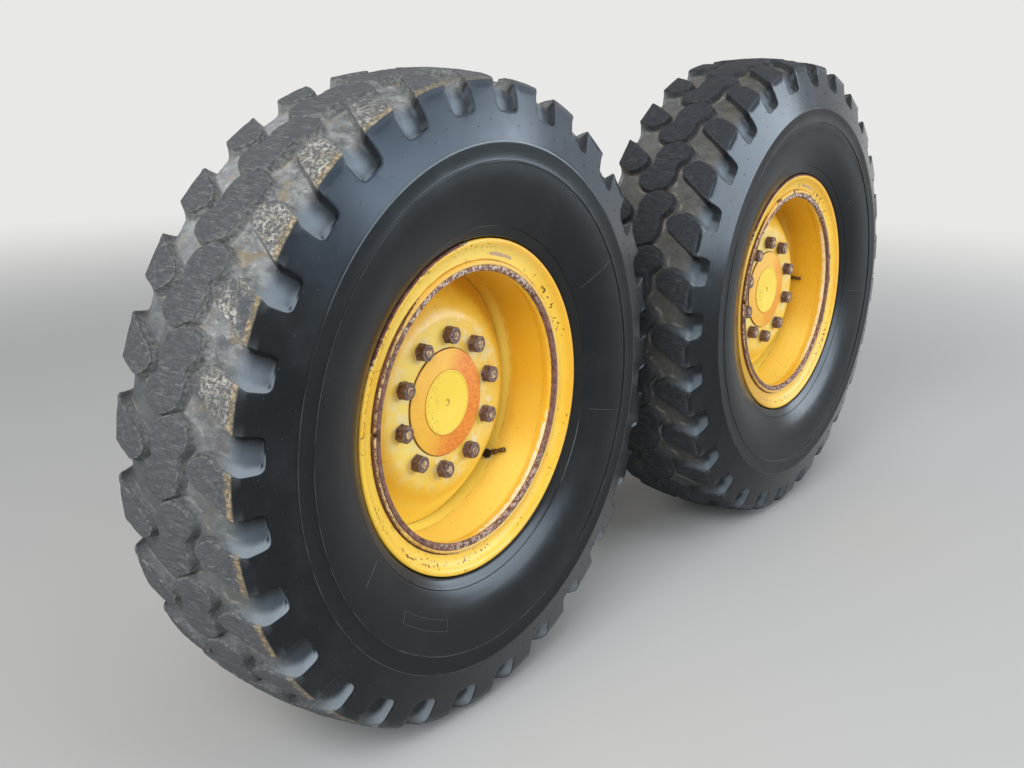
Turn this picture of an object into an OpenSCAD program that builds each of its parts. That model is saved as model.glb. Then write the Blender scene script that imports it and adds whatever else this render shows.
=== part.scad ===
// Left rear tandem drive of a motor grader: a pivot housing that bolts to the
// axle, a walking beam chain case that rocks on it, and two free turning wheels.
// Millimetres. +X forward, +Y outboard, +Z up. The origin is the centre of the
// pivot housing's bolting face.

/* [Layout] */
// Distance between the two wheel axles
wheel_base = 1510; // [1450:10:1600]
// Height of the rocking pivot above the wheel axles
pivot_rise = 30; // [10:1:40]
// From the bolting face to the middle plane of the tyres
tyre_mid_y = 507; // [500:1:560]
// Free play between parts that turn or slide on each other
run_gap = 0.3; // [0.2:0.05:0.4]
// Turn of the front wheel's studs about its axle
front_stud_turn = 22.8; // [0:0.1:35]
// Turn of the rear wheel's studs about its axle
rear_stud_turn = 18; // [0:0.1:35]

/* [Pivot] */
// Radius of the bolting flange
flange_r = 250; // [245:1:270]
// Thickness of the bolting flange
flange_t = 30; // [24:1:40]
// Diameter of the bolt circle in the flange
flange_pcd = 450; // [430:1:460]
// Number of bolt holes in the flange
flange_bolts = 16; // [8:2:24]
// Radius of a bolt hole in the flange
flange_hole_r = 11; // [8:0.5:13]
// Radius of the trunnion that the case rocks on
trunnion_r = 175; // [165:1:178]
// Radius of the axle's spigot bore
spigot_r = 110; // [105:1:120]
// Depth of the axle's spigot bore
spigot_depth = 40; // [30:1:44]
// Radius of the shaft carrier, in a bore past the spigot's
carrier_r = 104; // [98:1:104]
// Width of the step that the shaft carrier seats on
carrier_step = 20; // [14:1:26]
// Thickness of the shaft carrier's web
carrier_t = 20; // [12:1:25]
// Radius of the carrier's boss
carrier_boss_r = 60; // [50:1:80]
// Length of the carrier's boss past its web
carrier_boss_l = 35; // [20:1:50]
// Radius of the drive shaft's socket
socket_r = 30; // [20:1:40]
// Depth of the drive shaft's socket
socket_depth = 45; // [30:1:48]
// Thickness of the thrust ring between the flange and the case
thrust_t = 19.7; // [15:0.1:22]
// Thickness of the ring that keeps the case on the trunnion
retainer_t = 16; // [10:1:25]
// Wall of the bronze bush round the trunnion
bush_wall = 14.7; // [8:0.1:16]
// Wall of the boss that holds the bush
boss_wall = 32; // [25:1:34]
// How far the bush and its boss stand into the case past the plate
boss_inside = 18; // [10:1:30]

/* [Case] */
// Height of the case
case_h = 572; // [566:1:600]
// Width of the case over its two side plates
case_w = 204; // [190:1:215]
// Thickness of the inner side plate
inner_plate_t = 16; // [12:1:20]
// Thickness of the outer side plate
outer_plate_t = 18; // [12:1:22]
// Thickness of the band bent round between the side plates
band_t = 12; // [8:1:16]
// How far the side plates stand past the band
plate_lip = 8; // [4:1:14]
// Radius of the round cover on the outer plate
round_cover_r = 145; // [120:1:160]
// Thickness of the bolted covers
cover_t = 12; // [8:1:16]
// Overlap of a cover on the plate round its hole
cover_lap = 32; // [26:1:40]
// Length of a top cover
top_cover_l = 300; // [220:5:360]
// Width of a top cover
top_cover_w = 130; // [110:1:140]
// Distance of each top cover from the pivot
top_cover_x = 380; // [250:5:450]
// Radius of a plug's head
plug_r = 22; // [16:1:28]
// Height of a plug's head
plug_h = 18; // [10:1:26]
// Distance of the level plug in front of the pivot
level_plug_x = 330; // [250:5:400]

/* [Spindles] */
// Radius of the spindle housing's flange
spindle_flange_r = 222; // [218:1:230]
// Thickness of the spindle housing's flange
spindle_flange_t = 24; // [18:1:30]
// Radius of the brake housing
brake_r = 178; // [160:1:185]
// Length of the brake housing
brake_l = 104; // [80:1:110]
// Length of the brake housing's narrowing end
brake_nose_l = 38; // [25:1:44]
// Radius of the brake housing's outboard end
brake_end_r = 150; // [130:1:155]
// Radius of the spindle's spigot in the case
spindle_spigot_r = 150; // [130:1:160]
// Radius of the spindle that the hub turns on
spindle_r = 80; // [65:1:90]
// Gap that keeps turning parts off the case's own parts
clear_gap = 5; // [5:0.5:7]
// Number of bolts in a spindle flange
spindle_bolts = 16; // [8:2:20]

/* [Hubs] */
// Radius of the hub's flange
hub_flange_r = 172; // [165:1:180]
// Thickness of the hub's flange
hub_flange_t = 28; // [20:1:36]
// Radius of the hub's barrel
hub_barrel_r = 118; // [105:1:122]
// End wall of the hub past the spindle's bore
hub_end_t = 3; // [3:1:6]
// Radius of the hub's cap, which pilots the disc
cap_r = 115; // [110:0.5:118]
// Height of the cap above the hub's flange
cap_h = 20; // [18:0.5:24]
// Radius of the raised boss on the cap
cap_boss_r = 67.5; // [60:0.5:75]
// Height of the raised boss on the cap
cap_boss_h = 2; // [1.5:0.5:5]
// Diameter of the stud circle
stud_pcd = 285.75; // [280:0.25:292]
// Number of studs in a wheel
stud_count = 10; // [8:1:10]
// Radius of a stud
stud_r = 11; // [9:0.5:11.5]
// Width of a nut across its flats
nut_af = 34; // [30:0.5:36]
// Height of a nut with its collar
nut_h = 20; // [18:0.5:24]
// How far a stud's end stands out of its nut
stud_out = 1.5; // [1:0.5:3]

/* [Rims] */
// Distance between the rim's two flanges
rim_w = 254; // [250:1:260]
// Radius of the bead seats at the flanges
rim_r = 304.8; // [304:0.1:306]
// Height of a flange over the bead seat
rim_flange_h = 44.5; // [40:0.5:46]
// Thickness of a flange at its foot
rim_flange_t = 17; // [14:0.5:18]
// Outward lean of a flange's edge past its foot
rim_flange_curl = 20; // [19:0.5:24]
// Length of a bead seat
seat_l = 75; // [65:1:80]
// Fall of a bead seat towards the middle of the rim
seat_fall = 6.5; // [5:0.5:6.5]
// Thickness of the rim base between the seats
base_t = 6.1; // [6:0.1:7]
// How far the rim base's open edge lies inside the bead seats
lip_depth = 24.8; // [22:0.1:27]
// Width of the rim base's open edge
lip_w = 14.8; // [13:0.1:15]
// Distance of the open edge inside the flange's edge plane
lip_back = 8.5; // [7:0.5:10]
// Width of the lock ring's groove
groove_w = 10; // [8:0.5:11]
// How far the disc's weld lies inside the bead seats
disc_depth = 24.8; // [22:0.1:27]
// Distance of the disc's face outboard of the tyre's middle plane
disc_face = 58.5; // [50:0.5:62]
// Thickness of the disc
disc_t = 16; // [12:1:18]
// Fall of the dished disc from its face to its weld
disc_fall = 72; // [64:1:76]
// Width of the slope from the disc's weld out to the bead seats
slope_w = 24.5; // [20:0.5:30]
// Length of the valve's stem
valve_l = 48; // [40:1:52]
// Lean of the front wheel's valve about the axle
front_valve_lean = 24; // [0:1:30]

/* [Tyres] */
// Radius at the middle of the tread
tyre_r = 675; // [660:1:685]
// Greatest width of the tyre
tyre_w = 372; // [360:1:376]
// Width of the tread between the shoulder edges
tread_w = 300; // [280:1:310]
// Fall of the tread from its middle to the shoulder edge
crown_fall = 15; // [10:1:20]
// Number of shoulder lugs on each side of the tread
lug_count = 28; // [24:1:32]
// Depth of the grooves between the lugs
groove_depth = 24; // [15:1:28]
// How far the grooves run down the shoulder from the middle of the tread
groove_drop = 75; // [60:1:85]
// How far the edge under the shoulder lies below the middle of the tread
edge_drop = 134; // [125:1:145]
// How far the line under that edge lies below the middle of the tread
line_drop = 172; // [160:1:185]
// Height of the ring near the rim over the rim's flange
foot_up = 42; // [34:1:50]
// Turn of the front tyre's first lug about its axle
front_lug_turn = 9.6; // [0:0.1:12]
// Turn of the rear tyre's first lug about its axle
rear_lug_turn = 4.5; // [0:0.1:12]
// Half width of the tyre at the ring near the rim
foot_w = 162; // [158:1:166]
// Thickness of the sidewall
wall_t = 27; // [20:1:30]

/* [Hidden] */
axle_z = -pivot_rise;
front_x = wheel_base / 2;
rear_x = -wheel_base / 2;

// Stations along Y, from the bolting face outwards
boss_start = flange_t + thrust_t + run_gap;
plate_in_y = 70;
plate_in_end = plate_in_y + inner_plate_t;
boss_end = plate_in_end + boss_inside;
trunnion_end = boss_end + run_gap;
case_out_y = plate_in_y + case_w;
plate_out_y = case_out_y - outer_plate_t;
brake_start = case_out_y + spindle_flange_t;
hub_face_y = tyre_mid_y + disc_face - disc_t;
hub_start_y = brake_start + brake_l + brake_nose_l + clear_gap;
hub_bore_end_y = hub_face_y - hub_end_t;
spindle_end_y = hub_bore_end_y - clear_gap;

// Radii and places round the pivot
carrier_y = spigot_depth + carrier_t;
shaft_bore_r = carrier_r - carrier_step;
bush_in_r = trunnion_r + run_gap;
bush_out_r = bush_in_r + bush_wall;
boss_out_r = bush_out_r + boss_wall;
seat_gap = 0.2;

// The rim, with w measured outboard from the tyre's middle plane
half_rim = rim_w / 2;
lip_r = rim_r - lip_depth;
disc_r = rim_r - disc_depth;
edge_w = half_rim + rim_flange_curl;
flange_edge_r = rim_r + rim_flange_h;
base_r = rim_r - seat_fall - 1.4;
barrel_r = base_r - base_t;
lip_end = edge_w - lip_back;
lip_top = lip_r + lip_w;
groove_end = lip_end - 10;
groove_start = groove_end - groove_w;
groove_r = base_r - 6.8;
ring_top = rim_r - 0.6;

// The tyre's section
edge_r = tyre_r - edge_drop;
line_r = tyre_r - line_drop;
foot_r = flange_edge_r + foot_up;

case_half_h = case_h / 2;
band_half_h = case_half_h - plate_lip;
top_z = axle_z + band_half_h;
bottom_z = axle_z - band_half_h;
bolt_h = 12;

yellow = "#e8ab22";
dark_yellow = "#c98f1c";
rust = "#7a4a34";
bare_steel = "#8d8d8d";
bronze = "#b08d4a";
black_rubber = "#26272a";

// Puts a shape turned about Z onto an axle along Y, outboard up
module on_y(x, y, z) {
    translate([x, y, z]) rotate([-90, 0, 0]) children();
}

// Copies a shape round the axle, the first at an angle from forward to up
module round_axle(count, radius, first = 0) {
    for (i = [0 : count - 1])
        rotate([0, 0, -(first + i * 360 / count)]) translate([radius, 0, 0]) children();
}

// A turned solid from points of [radius, height]
module turned(points) {
    rotate_extrude($fn = 96) polygon(points);
}

module plate_ring(outer_r, inner_r, thickness) {
    difference() {
        cylinder(r = outer_r, h = thickness, $fn = 96);
        translate([0, 0, -1]) cylinder(r = inner_r, h = thickness + 2, $fn = 96);
    }
}

// A hexagon head, sunk a little so that it is one solid with its seat
module hex_head(across_flats = 30, height = bolt_h) {
    sunk = 1;
    translate([0, 0, -sunk]) cylinder(d = across_flats / cos(30), h = height + sunk, $fn = 6);
}

// A smooth bend from a to c that leaves towards b: one place on it, and its points
function bend_at(a, b, c, t) = (1 - t) * (1 - t) * a + 2 * t * (1 - t) * b + t * t * c;
function bend(a, b, c, steps = 6) = [for (i = [0 : steps]) bend_at(a, b, c, i / steps)];

// Pivot housing and what is bolted to it

module pivot_housing() {
    color(dark_yellow) on_y(0, 0, 0) difference() {
        turned([
            [spigot_r, 0], [flange_r - 3, 0], [flange_r, 3], [flange_r, flange_t - 3],
            [flange_r - 3, flange_t], [trunnion_r, flange_t], [trunnion_r, trunnion_end],
            [shaft_bore_r, trunnion_end], [shaft_bore_r, carrier_y],
            [carrier_r, carrier_y], [carrier_r, spigot_depth], [spigot_r, spigot_depth]
        ]);
        round_axle(flange_bolts, flange_pcd / 2, 360 / flange_bolts / 2)
            translate([0, 0, -1]) cylinder(r = flange_hole_r, h = flange_t + 2, $fn = 32);
    }
}

module shaft_carrier() {
    web_r = carrier_r - seat_gap;
    neck_r = shaft_bore_r - seat_gap;
    neck_l = 8;
    color(bare_steel) on_y(0, carrier_y, 0) turned([
        [socket_r, -carrier_t], [web_r, -carrier_t], [web_r, 0], [neck_r, 0],
        [neck_r, neck_l], [carrier_boss_r, neck_l], [carrier_boss_r, carrier_boss_l],
        [0, carrier_boss_l], [0, socket_depth - carrier_t], [socket_r, socket_depth - carrier_t]
    ]);
}

module thrust_ring() {
    color(bronze) on_y(0, flange_t, 0)
        plate_ring(bush_out_r, trunnion_r + seat_gap, thrust_t);
}

module retainer_ring() {
    outer_r = bush_out_r + boss_wall / 2;
    color(bare_steel) on_y(0, trunnion_end, 0) {
        plate_ring(outer_r, shaft_bore_r, retainer_t);
        round_axle(12, trunnion_r - 22) translate([0, 0, retainer_t]) hex_head();
    }
}

// Chain case

module case_outline(inset) {
    r = case_half_h - inset;
    for (x = [front_x, rear_x]) translate([x, -axle_z]) circle(r = r, $fn = 96);
    translate([rear_x, -axle_z - r]) square([wheel_base, 2 * r]);
}

module case_inner_plate() {
    hole_r = round_cover_r - cover_lap;
    color(yellow) on_y(0, plate_in_y, 0) difference() {
        union() {
            linear_extrude(height = inner_plate_t) case_outline(0);
            translate([0, 0, boss_start - plate_in_y])
                cylinder(r = boss_out_r, h = boss_end - boss_start, $fn = 96);
        }
        translate([0, 0, boss_start - plate_in_y - 1])
            cylinder(r = bush_out_r + seat_gap, h = boss_end - boss_start + 2, $fn = 96);
        for (x = [front_x, rear_x]) translate([x, -axle_z, -1])
            cylinder(r = hole_r, h = inner_plate_t + 2, $fn = 96);
    }
}

module case_outer_plate() {
    color(yellow) on_y(0, plate_out_y, 0) difference() {
        linear_extrude(height = outer_plate_t) case_outline(0);
        for (x = [front_x, rear_x]) translate([x, -axle_z, -1])
            cylinder(r = spindle_spigot_r + seat_gap, h = outer_plate_t + 2, $fn = 96);
        translate([0, 0, -1])
            cylinder(r = round_cover_r - cover_lap, h = outer_plate_t + 2, $fn = 96);
    }
}

module case_band() {
    band_l = plate_out_y - plate_in_end;
    hole_l = top_cover_l - 2 * cover_lap;
    hole_w = top_cover_w - 2 * cover_lap;
    color(yellow) difference() {
        on_y(0, plate_in_end, 0) difference() {
            linear_extrude(height = band_l) case_outline(plate_lip);
            translate([0, 0, -1]) linear_extrude(height = band_l + 2)
                case_outline(plate_lip + band_t);
        }
        for (x = [-top_cover_x, top_cover_x])
            translate([x - hole_l / 2, (plate_in_end + plate_out_y - hole_w) / 2, top_z - band_t - 1])
                cube([hole_l, hole_w, band_t + 2]);
    }
}

module pivot_bush() {
    color(bronze) on_y(0, boss_start, 0) plate_ring(bush_out_r, bush_in_r, boss_end - boss_start);
}

module bolted_disc(radius, lap) {
    cylinder(r1 = radius, r2 = radius - 2, h = cover_t, $fn = 96);
    round_axle(8, radius - lap / 2, 22.5) translate([0, 0, cover_t]) hex_head(24, 10);
}

module round_cover() {
    color(yellow) on_y(0, case_out_y, 0) bolted_disc(round_cover_r, cover_lap);
}

module chain_cover(x) {
    color(yellow) translate([x, plate_in_y, axle_z]) rotate([90, 0, 0])
        bolted_disc(round_cover_r, cover_lap);
}

module top_cover(x) {
    mid_y = (plate_in_end + plate_out_y) / 2;
    color(yellow) translate([x, mid_y, top_z]) {
        translate([-top_cover_l / 2, -top_cover_w / 2, 0]) cube([top_cover_l, top_cover_w, cover_t]);
        for (i = [-1, 0, 1], j = [-1, 1])
            translate([i * (top_cover_l - cover_lap) / 2, j * (top_cover_w - cover_lap) / 2, cover_t])
                hex_head(22, 9);
    }
}

module plug(head_r = plug_r) {
    cylinder(r = head_r, h = plug_h * 0.4, $fn = 48);
    translate([0, 0, plug_h * 0.4]) hex_head(head_r * 1.4, plug_h * 0.6);
}

module filler_plug() {
    color(rust) translate([0, (plate_in_end + plate_out_y) / 2, top_z]) plug();
}

module level_plug() {
    color(rust) on_y(level_plug_x, case_out_y, axle_z) plug();
}

module drain_plug() {
    color(rust) translate([0, (plate_in_end + plate_out_y) / 2, bottom_z]) mirror([0, 0, 1]) plug();
}

// Brake housing and spindle, bolted to the outer plate
module spindle(x) {
    flange = spindle_flange_t;
    shoulder = flange + brake_l;
    end = hub_start_y - clear_gap - case_out_y;
    color(yellow) on_y(x, case_out_y, axle_z) {
        turned([
            [0, -outer_plate_t], [spindle_spigot_r, -outer_plate_t], [spindle_spigot_r, 0],
            [spindle_flange_r, 0], [spindle_flange_r, flange - 3], [spindle_flange_r - 3, flange],
            [brake_r + 8, flange], [brake_r, flange + 8], [brake_r, shoulder],
            [brake_end_r, end - 10], [brake_end_r - 6, end], [spindle_r, end],
            [spindle_r, spindle_end_y - case_out_y], [0, spindle_end_y - case_out_y]
        ]);
        round_axle(spindle_bolts, (spindle_flange_r + brake_r + 8) / 2, 11.25)
            translate([0, 0, flange]) hex_head(26, 13);
    }
}

// Wheels: each part is drawn about its own axle, w outboard from the middle plane

module wheel_part(x) {
    on_y(x, tyre_mid_y, axle_z) children();
}

module hub(x) {
    back = hub_start_y - tyre_mid_y;
    face = disc_face - disc_t;
    bore = hub_bore_end_y - tyre_mid_y;
    color(dark_yellow) wheel_part(x) turned([
        [spindle_r + run_gap, back], [hub_barrel_r - 4, back], [hub_barrel_r, back + 4],
        [hub_barrel_r, face - hub_flange_t - 10], [hub_barrel_r + 10, face - hub_flange_t],
        [hub_flange_r - 2, face - hub_flange_t], [hub_flange_r, face - hub_flange_t + 2],
        [hub_flange_r, face], [0, face], [0, bore], [spindle_r + run_gap, bore]
    ]);
}

module hub_cap(x) {
    face = disc_face - disc_t;
    top = face + cap_h;
    color(rust) wheel_part(x) difference() {
        turned([
            [0, face], [cap_r, face], [cap_r, top - 3], [cap_r - 2.5, top], [cap_boss_r, top],
            [cap_boss_r - 1.5, top + cap_boss_h], [0, top + cap_boss_h]
        ]);
        translate([0, 0, top - 2]) cylinder(r = 6, h = cap_boss_h + 4, $fn = 24);
    }
}

// Corners of the curve down the dished disc's face, from its flat to its weld
disc_curve = [
    [hub_flange_r + 3, disc_face], [hub_flange_r + 31, disc_face],
    [disc_r - seat_gap, disc_face - disc_fall]
];

module disc(x, first) {
    back = disc_face - disc_t;
    a = disc_curve[0];
    b = disc_curve[1];
    c = disc_curve[2];
    color(yellow) wheel_part(x) difference() {
        turned(concat(
            [[cap_r + seat_gap, back], [cap_r + seat_gap, disc_face]],
            bend(a, b, c),
            bend(c - [0, disc_t], b - [0, disc_t], a - [0, disc_t])
        ));
        round_axle(stud_count, stud_pcd / 2, first) translate([0, 0, back - 1])
            cylinder(r = stud_r + 1, h = disc_t + 2, $fn = 24);
    }
}

// Nut with its collar, and the stud that it is on
module wheel_nuts(x, first) {
    back = disc_face - disc_t;
    color(rust) wheel_part(x) round_axle(stud_count, stud_pcd / 2, first) {
        translate([0, 0, back]) cylinder(r = stud_r, h = disc_t + nut_h + stud_out, $fn = 32);
        translate([0, 0, disc_face]) cylinder(r1 = nut_af * 0.59, r2 = nut_af * 0.57, h = 3, $fn = 32);
        translate([0, 0, disc_face + 3]) hex_head(nut_af, nut_h - 3);
    }
}

// Valve: a nut square to the slope past the disc's weld, and a stem that turns outboard
module valve(x, turn, lean) {
    foot_w = disc_face - disc_fall + slope_w / 2;
    color("#2b2724") wheel_part(x) rotate([0, 0, -turn])
        translate([(disc_r + barrel_r) / 2, 0, foot_w]) {
            rotate([0, -atan2(slope_w, barrel_r - disc_r), 0]) translate([0, 0, 0.5])
                cylinder(r = 9, h = 9, $fn = 24);
            translate([-6, 0, 2.6]) rotate([-lean, 0, 0]) {
                cylinder(r = 5, h = valve_l - 12, $fn = 24);
                cylinder(r = 4, h = valve_l, $fn = 24);
            }
        }
}

module rim_base(x) {
    step_w = disc_face - disc_fall;
    back_w = step_w - disc_t;
    color(yellow) wheel_part(x) turned([
        [lip_r + 5, lip_end], [lip_top, lip_end], [lip_top, groove_end + 2], [groove_r, groove_end],
        [groove_r, groove_start], [base_r, groove_start], [base_r, seat_l - half_rim],
        [rim_r - seat_fall, seat_l - half_rim], [rim_r, -half_rim],
        [flange_edge_r - 14, -half_rim], [flange_edge_r - 5, -half_rim - 4],
        [flange_edge_r, 9 - edge_w], [flange_edge_r, 2 - edge_w], [flange_edge_r - 3, -edge_w],
        [flange_edge_r - 12, -edge_w], [flange_edge_r - 22, 3 - edge_w],
        [rim_r - 2, -half_rim - rim_flange_t], [barrel_r + 2, -half_rim - rim_flange_t],
        [barrel_r, -half_rim - rim_flange_t + 2],
        [barrel_r, back_w - 22], [disc_r + 7, back_w - 12], [disc_r, back_w],
        [disc_r, step_w], [barrel_r, step_w + slope_w], [barrel_r, lip_end - 37],
        [lip_r + 1, lip_end - 17], [lip_r + 2.5, lip_end - 4]
    ]);
}

module side_ring(x) {
    color(yellow) wheel_part(x) turned([
        [base_r + run_gap, half_rim - seat_l], [rim_r - seat_fall, half_rim - seat_l],
        [rim_r, half_rim], [flange_edge_r - 14, half_rim], [flange_edge_r - 5, half_rim + 4],
        [flange_edge_r, edge_w - 9], [flange_edge_r, edge_w - 2], [flange_edge_r - 3, edge_w],
        [flange_edge_r - 8, edge_w], [flange_edge_r - 12, edge_w - 1.5],
        [flange_edge_r - 20, edge_w - 7.5], [ring_top + 12, edge_w - 13],
        [ring_top + 0.3, edge_w - 15], [ring_top + 0.3, groove_end + 0.3],
        [base_r + run_gap, groove_end + 0.3]
    ]);
}

module lock_ring(x) {
    play = 0.3;
    slope_end = groove_end + 2 - 2 * play;
    color(rust) wheel_part(x) turned([
        [groove_r + play, groove_start + play], [base_r, groove_start + play],
        [base_r, groove_end + 0.6], [ring_top, groove_end + 0.6], [ring_top, edge_w - 13],
        [ring_top - 3, edge_w - 8.3], [lip_top + play, edge_w - 8.3], [lip_top + play, slope_end],
        [groove_r + play, groove_end - 2 * play]
    ]);
}

// Each half of the tyre is a band of like sectors, one to a lug. A sector's corners
// are [share of the pitch along the tread, distance across, radius], outboard half.
lug_pitch = 360 / lug_count;
lug_share = 0.51;
half_tread = tread_w / 2;
half_w = tyre_w / 2;
groove_foot_r = tyre_r - groove_drop;
groove_foot_w = half_w - (half_w - half_tread) * (groove_foot_r - edge_r) / (tyre_r - crown_fall - edge_r);

function crown_r(w) = tyre_r - crown_fall * pow(w / half_tread, 2);
// Keeps a ring of flat facets, each so many degrees wide, outside a round of radius r
function round_out(r, facet) = r / cos(facet / 2);
function lug_row(w, r) = [[0, w, r], [lug_share, w, r]];
function top_and_floor(share, w) = [
    [share, w, crown_r(w)], [share, w, crown_r(w) - groove_depth]
];
sector = concat(
    lug_row(half_rim - 0.3, round_out(rim_r + 0.3, lug_pitch * lug_share)),
    lug_row(half_rim - 0.3, round_out(flange_edge_r + 1.5, lug_pitch * lug_share)),
    lug_row(foot_w, foot_r), lug_row(half_w, line_r), lug_row(half_w, edge_r),
    lug_row(groove_foot_w, groove_foot_r),
    lug_row(half_tread, crown_r(half_tread)),
    lug_row(half_tread, crown_r(half_tread) - groove_depth),
    top_and_floor(0.74, half_tread * 0.63), top_and_floor(0.69, half_tread * 0.44),
    top_and_floor(0.37, half_tread * 0.33)
);
sector_size = len(sector);

// The inboard half is the outboard one turned half round this place in the tread
turn_share = 0.574;
middle_row = [turn_share - 0.25, turn_share + 0.25];

// Rings of the air space, from the outboard bead's toe across: [distance across, radius]
air_half = [
    [half_rim - seat_l + 8, round_out(rim_r - seat_fall + 1.2, lug_pitch)],
    [foot_w - wall_t, foot_r - 5], [half_w - wall_t - 2, edge_r - 10]
];
air_rings = concat(
    air_half, [[0, tyre_r - 55]],
    [for (k = [len(air_half) - 1 : -1 : 0]) [-air_half[k][0], air_half[k][1]]]
);

function tread_point(share, w, r, i) =
    let (a = (share + i) * lug_pitch) [r * cos(a), -r * sin(a), w];
function half_point(half, c, i) =
    half == 0 ? tread_point(c[0], c[1], c[2], i) : tread_point(2 * turn_share - c[0], -c[1], c[2], -i);

// Numbers of the points: a corner of a half's sector, of the middle row, of an air ring
function wrapped(i) = (i % lug_count + lug_count) % lug_count;
function corner(half, i, k) = (half * lug_count + wrapped(i)) * sector_size + k;
middle_start = 2 * lug_count * sector_size;
function middle(half, i, j) =
    middle_start + 2 * wrapped(half == 0 ? i : -i) + (half == 0 ? j : 1 - j);
air_start = middle_start + 2 * lug_count;
function air(ring, i) = air_start + ring * lug_count + wrapped(i);
function toe(half, i) = half == 0 ? air(0, i) : air(len(air_rings) - 1, 1 - i);

// Faces of sector i, as corners of this sector (k) and of the next (k + sector_size)
function at_corner(half, i, k) =
    k < sector_size ? corner(half, i, k) : corner(half, i + 1, k - sector_size);
sector_faces = let (n = sector_size) concat(
    [for (k = [0 : 2 : 8], half_row = [0, 1]) half_row == 0
        ? [k, k + 1, k + 3, k + 2] : [k + 1, k + n, k + 2 + n, k + 3]],
    [[10, 11, 13, 12], [11, 10 + n, 14 + n, 15], [11, 15, 13], [10 + n, 12 + n, 14 + n]],
    [[13, 15, 17, 16], [16, 17, 19, 18], [18, 19, 21 + n, 20 + n], [20 + n, 21 + n, 14 + n, 12 + n]],
    [[15, 14 + n, 21 + n, 19, 17], [12, 13, 16, 18, 20]]
);

module tyre(x, first) {
    points = concat(
        [for (half = [0, 1], i = [0 : lug_count - 1], c = sector) half_point(half, c, i)],
        [for (i = [0 : lug_count - 1], share = middle_row) tread_point(share, 0, tyre_r, i)],
        [for (ring = air_rings, i = [0 : lug_count - 1])
            tread_point(turn_share - 0.5, ring[0], ring[1], i)]
    );
    tread_faces = [
        for (half = [0, 1], i = [0 : lug_count - 1], f = sector_faces)
            [for (k = f) at_corner(half, i, k)]
    ];
    middle_faces = [
        for (half = [0, 1], i = [0 : lug_count - 1]) each [
            [corner(half, i, 20), middle(half, i, 1), middle(half, i, 0)],
            [corner(half, i, 20), corner(half, i, 18), middle(half, i, 1)],
            [corner(half, i, 18), middle(half, i + 1, 0), middle(half, i, 1)],
            [corner(half, i, 18), corner(half, i + 1, 20), middle(half, i + 1, 0)]
        ]
    ];
    bead_faces = [
        for (half = [0, 1], i = [0 : lug_count - 1]) each [
            [corner(half, i, 0), toe(half, i), corner(half, i, 1)],
            [corner(half, i, 1), toe(half, i), toe(half, i + 1)],
            [corner(half, i, 1), toe(half, i + 1), corner(half, i + 1, 0)]
        ]
    ];
    air_faces = [
        for (ring = [0 : len(air_rings) - 2], i = [0 : lug_count - 1])
            [air(ring, i), air(ring + 1, i), air(ring + 1, i + 1), air(ring, i + 1)]
    ];
    // Sectors run clockwise about the axle, so each face's corners are taken backwards
    faces = [
        for (f = concat(tread_faces, middle_faces, bead_faces, air_faces))
            [for (k = [len(f) - 1 : -1 : 0]) f[k]]
    ];
    color(black_rubber) wheel_part(x) rotate([0, 0, -first])
        polyhedron(points = points, faces = faces);
}

pivot_housing();
shaft_carrier();
thrust_ring();
retainer_ring();
case_inner_plate();
case_outer_plate();
case_band();
pivot_bush();
round_cover();
chain_cover(front_x);  // front_chain_cover
chain_cover(rear_x);  // rear_chain_cover
top_cover(top_cover_x);  // front_top_cover
top_cover(-top_cover_x);  // rear_top_cover
filler_plug();
level_plug();
drain_plug();
spindle(front_x);  // front_spindle
spindle(rear_x);  // rear_spindle
hub(front_x);  // front_hub
hub_cap(front_x);  // front_hub_cap
disc(front_x, front_stud_turn);  // front_disc
wheel_nuts(front_x, front_stud_turn);  // front_wheel_nuts
valve(front_x, front_stud_turn + 197.7, front_valve_lean);  // front_valve
rim_base(front_x);  // front_rim_base
side_ring(front_x);  // front_side_ring
lock_ring(front_x);  // front_lock_ring
tyre(front_x, front_lug_turn);  // front_tyre
hub(rear_x);  // rear_hub
hub_cap(rear_x);  // rear_hub_cap
disc(rear_x, rear_stud_turn);  // rear_disc
wheel_nuts(rear_x, rear_stud_turn);  // rear_wheel_nuts
valve(rear_x, rear_stud_turn + 164, 0);  // rear_valve
rim_base(rear_x);  // rear_rim_base
side_ring(rear_x);  // rear_side_ring
lock_ring(rear_x);  // rear_lock_ring
tyre(rear_x, rear_lug_turn);  // rear_tyre
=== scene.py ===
import math

import bmesh
import bpy
import numpy as np
from mathutils import Matrix, Vector, geometry, noise


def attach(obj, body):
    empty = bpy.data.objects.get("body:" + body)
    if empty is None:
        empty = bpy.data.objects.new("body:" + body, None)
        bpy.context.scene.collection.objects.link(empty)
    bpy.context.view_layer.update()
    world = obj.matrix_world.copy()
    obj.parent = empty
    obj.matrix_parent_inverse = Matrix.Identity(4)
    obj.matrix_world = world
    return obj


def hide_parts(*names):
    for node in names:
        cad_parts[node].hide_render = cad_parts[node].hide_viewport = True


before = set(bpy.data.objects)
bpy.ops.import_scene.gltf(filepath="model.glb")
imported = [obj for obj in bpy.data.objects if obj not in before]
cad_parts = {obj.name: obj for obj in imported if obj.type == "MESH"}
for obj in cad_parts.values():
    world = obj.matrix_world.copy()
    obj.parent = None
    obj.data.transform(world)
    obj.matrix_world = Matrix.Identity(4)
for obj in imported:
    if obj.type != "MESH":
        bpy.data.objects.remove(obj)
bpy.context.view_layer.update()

# Camera. The photograph was taken standing in front of the unit and to its left, a little above the
# wheels, with a phone's main lens. Its place and lens were solved from the two rims.
right = Vector((-0.59747283, 0.80187317, 0.00506264))
up = Vector((-0.21391594, -0.16546626, 0.96273615))
ahead = Vector((-0.77282999, -0.57412571, -0.27039504))
eye = Vector((2.66299, 2.15540, 0.70625))
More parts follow.
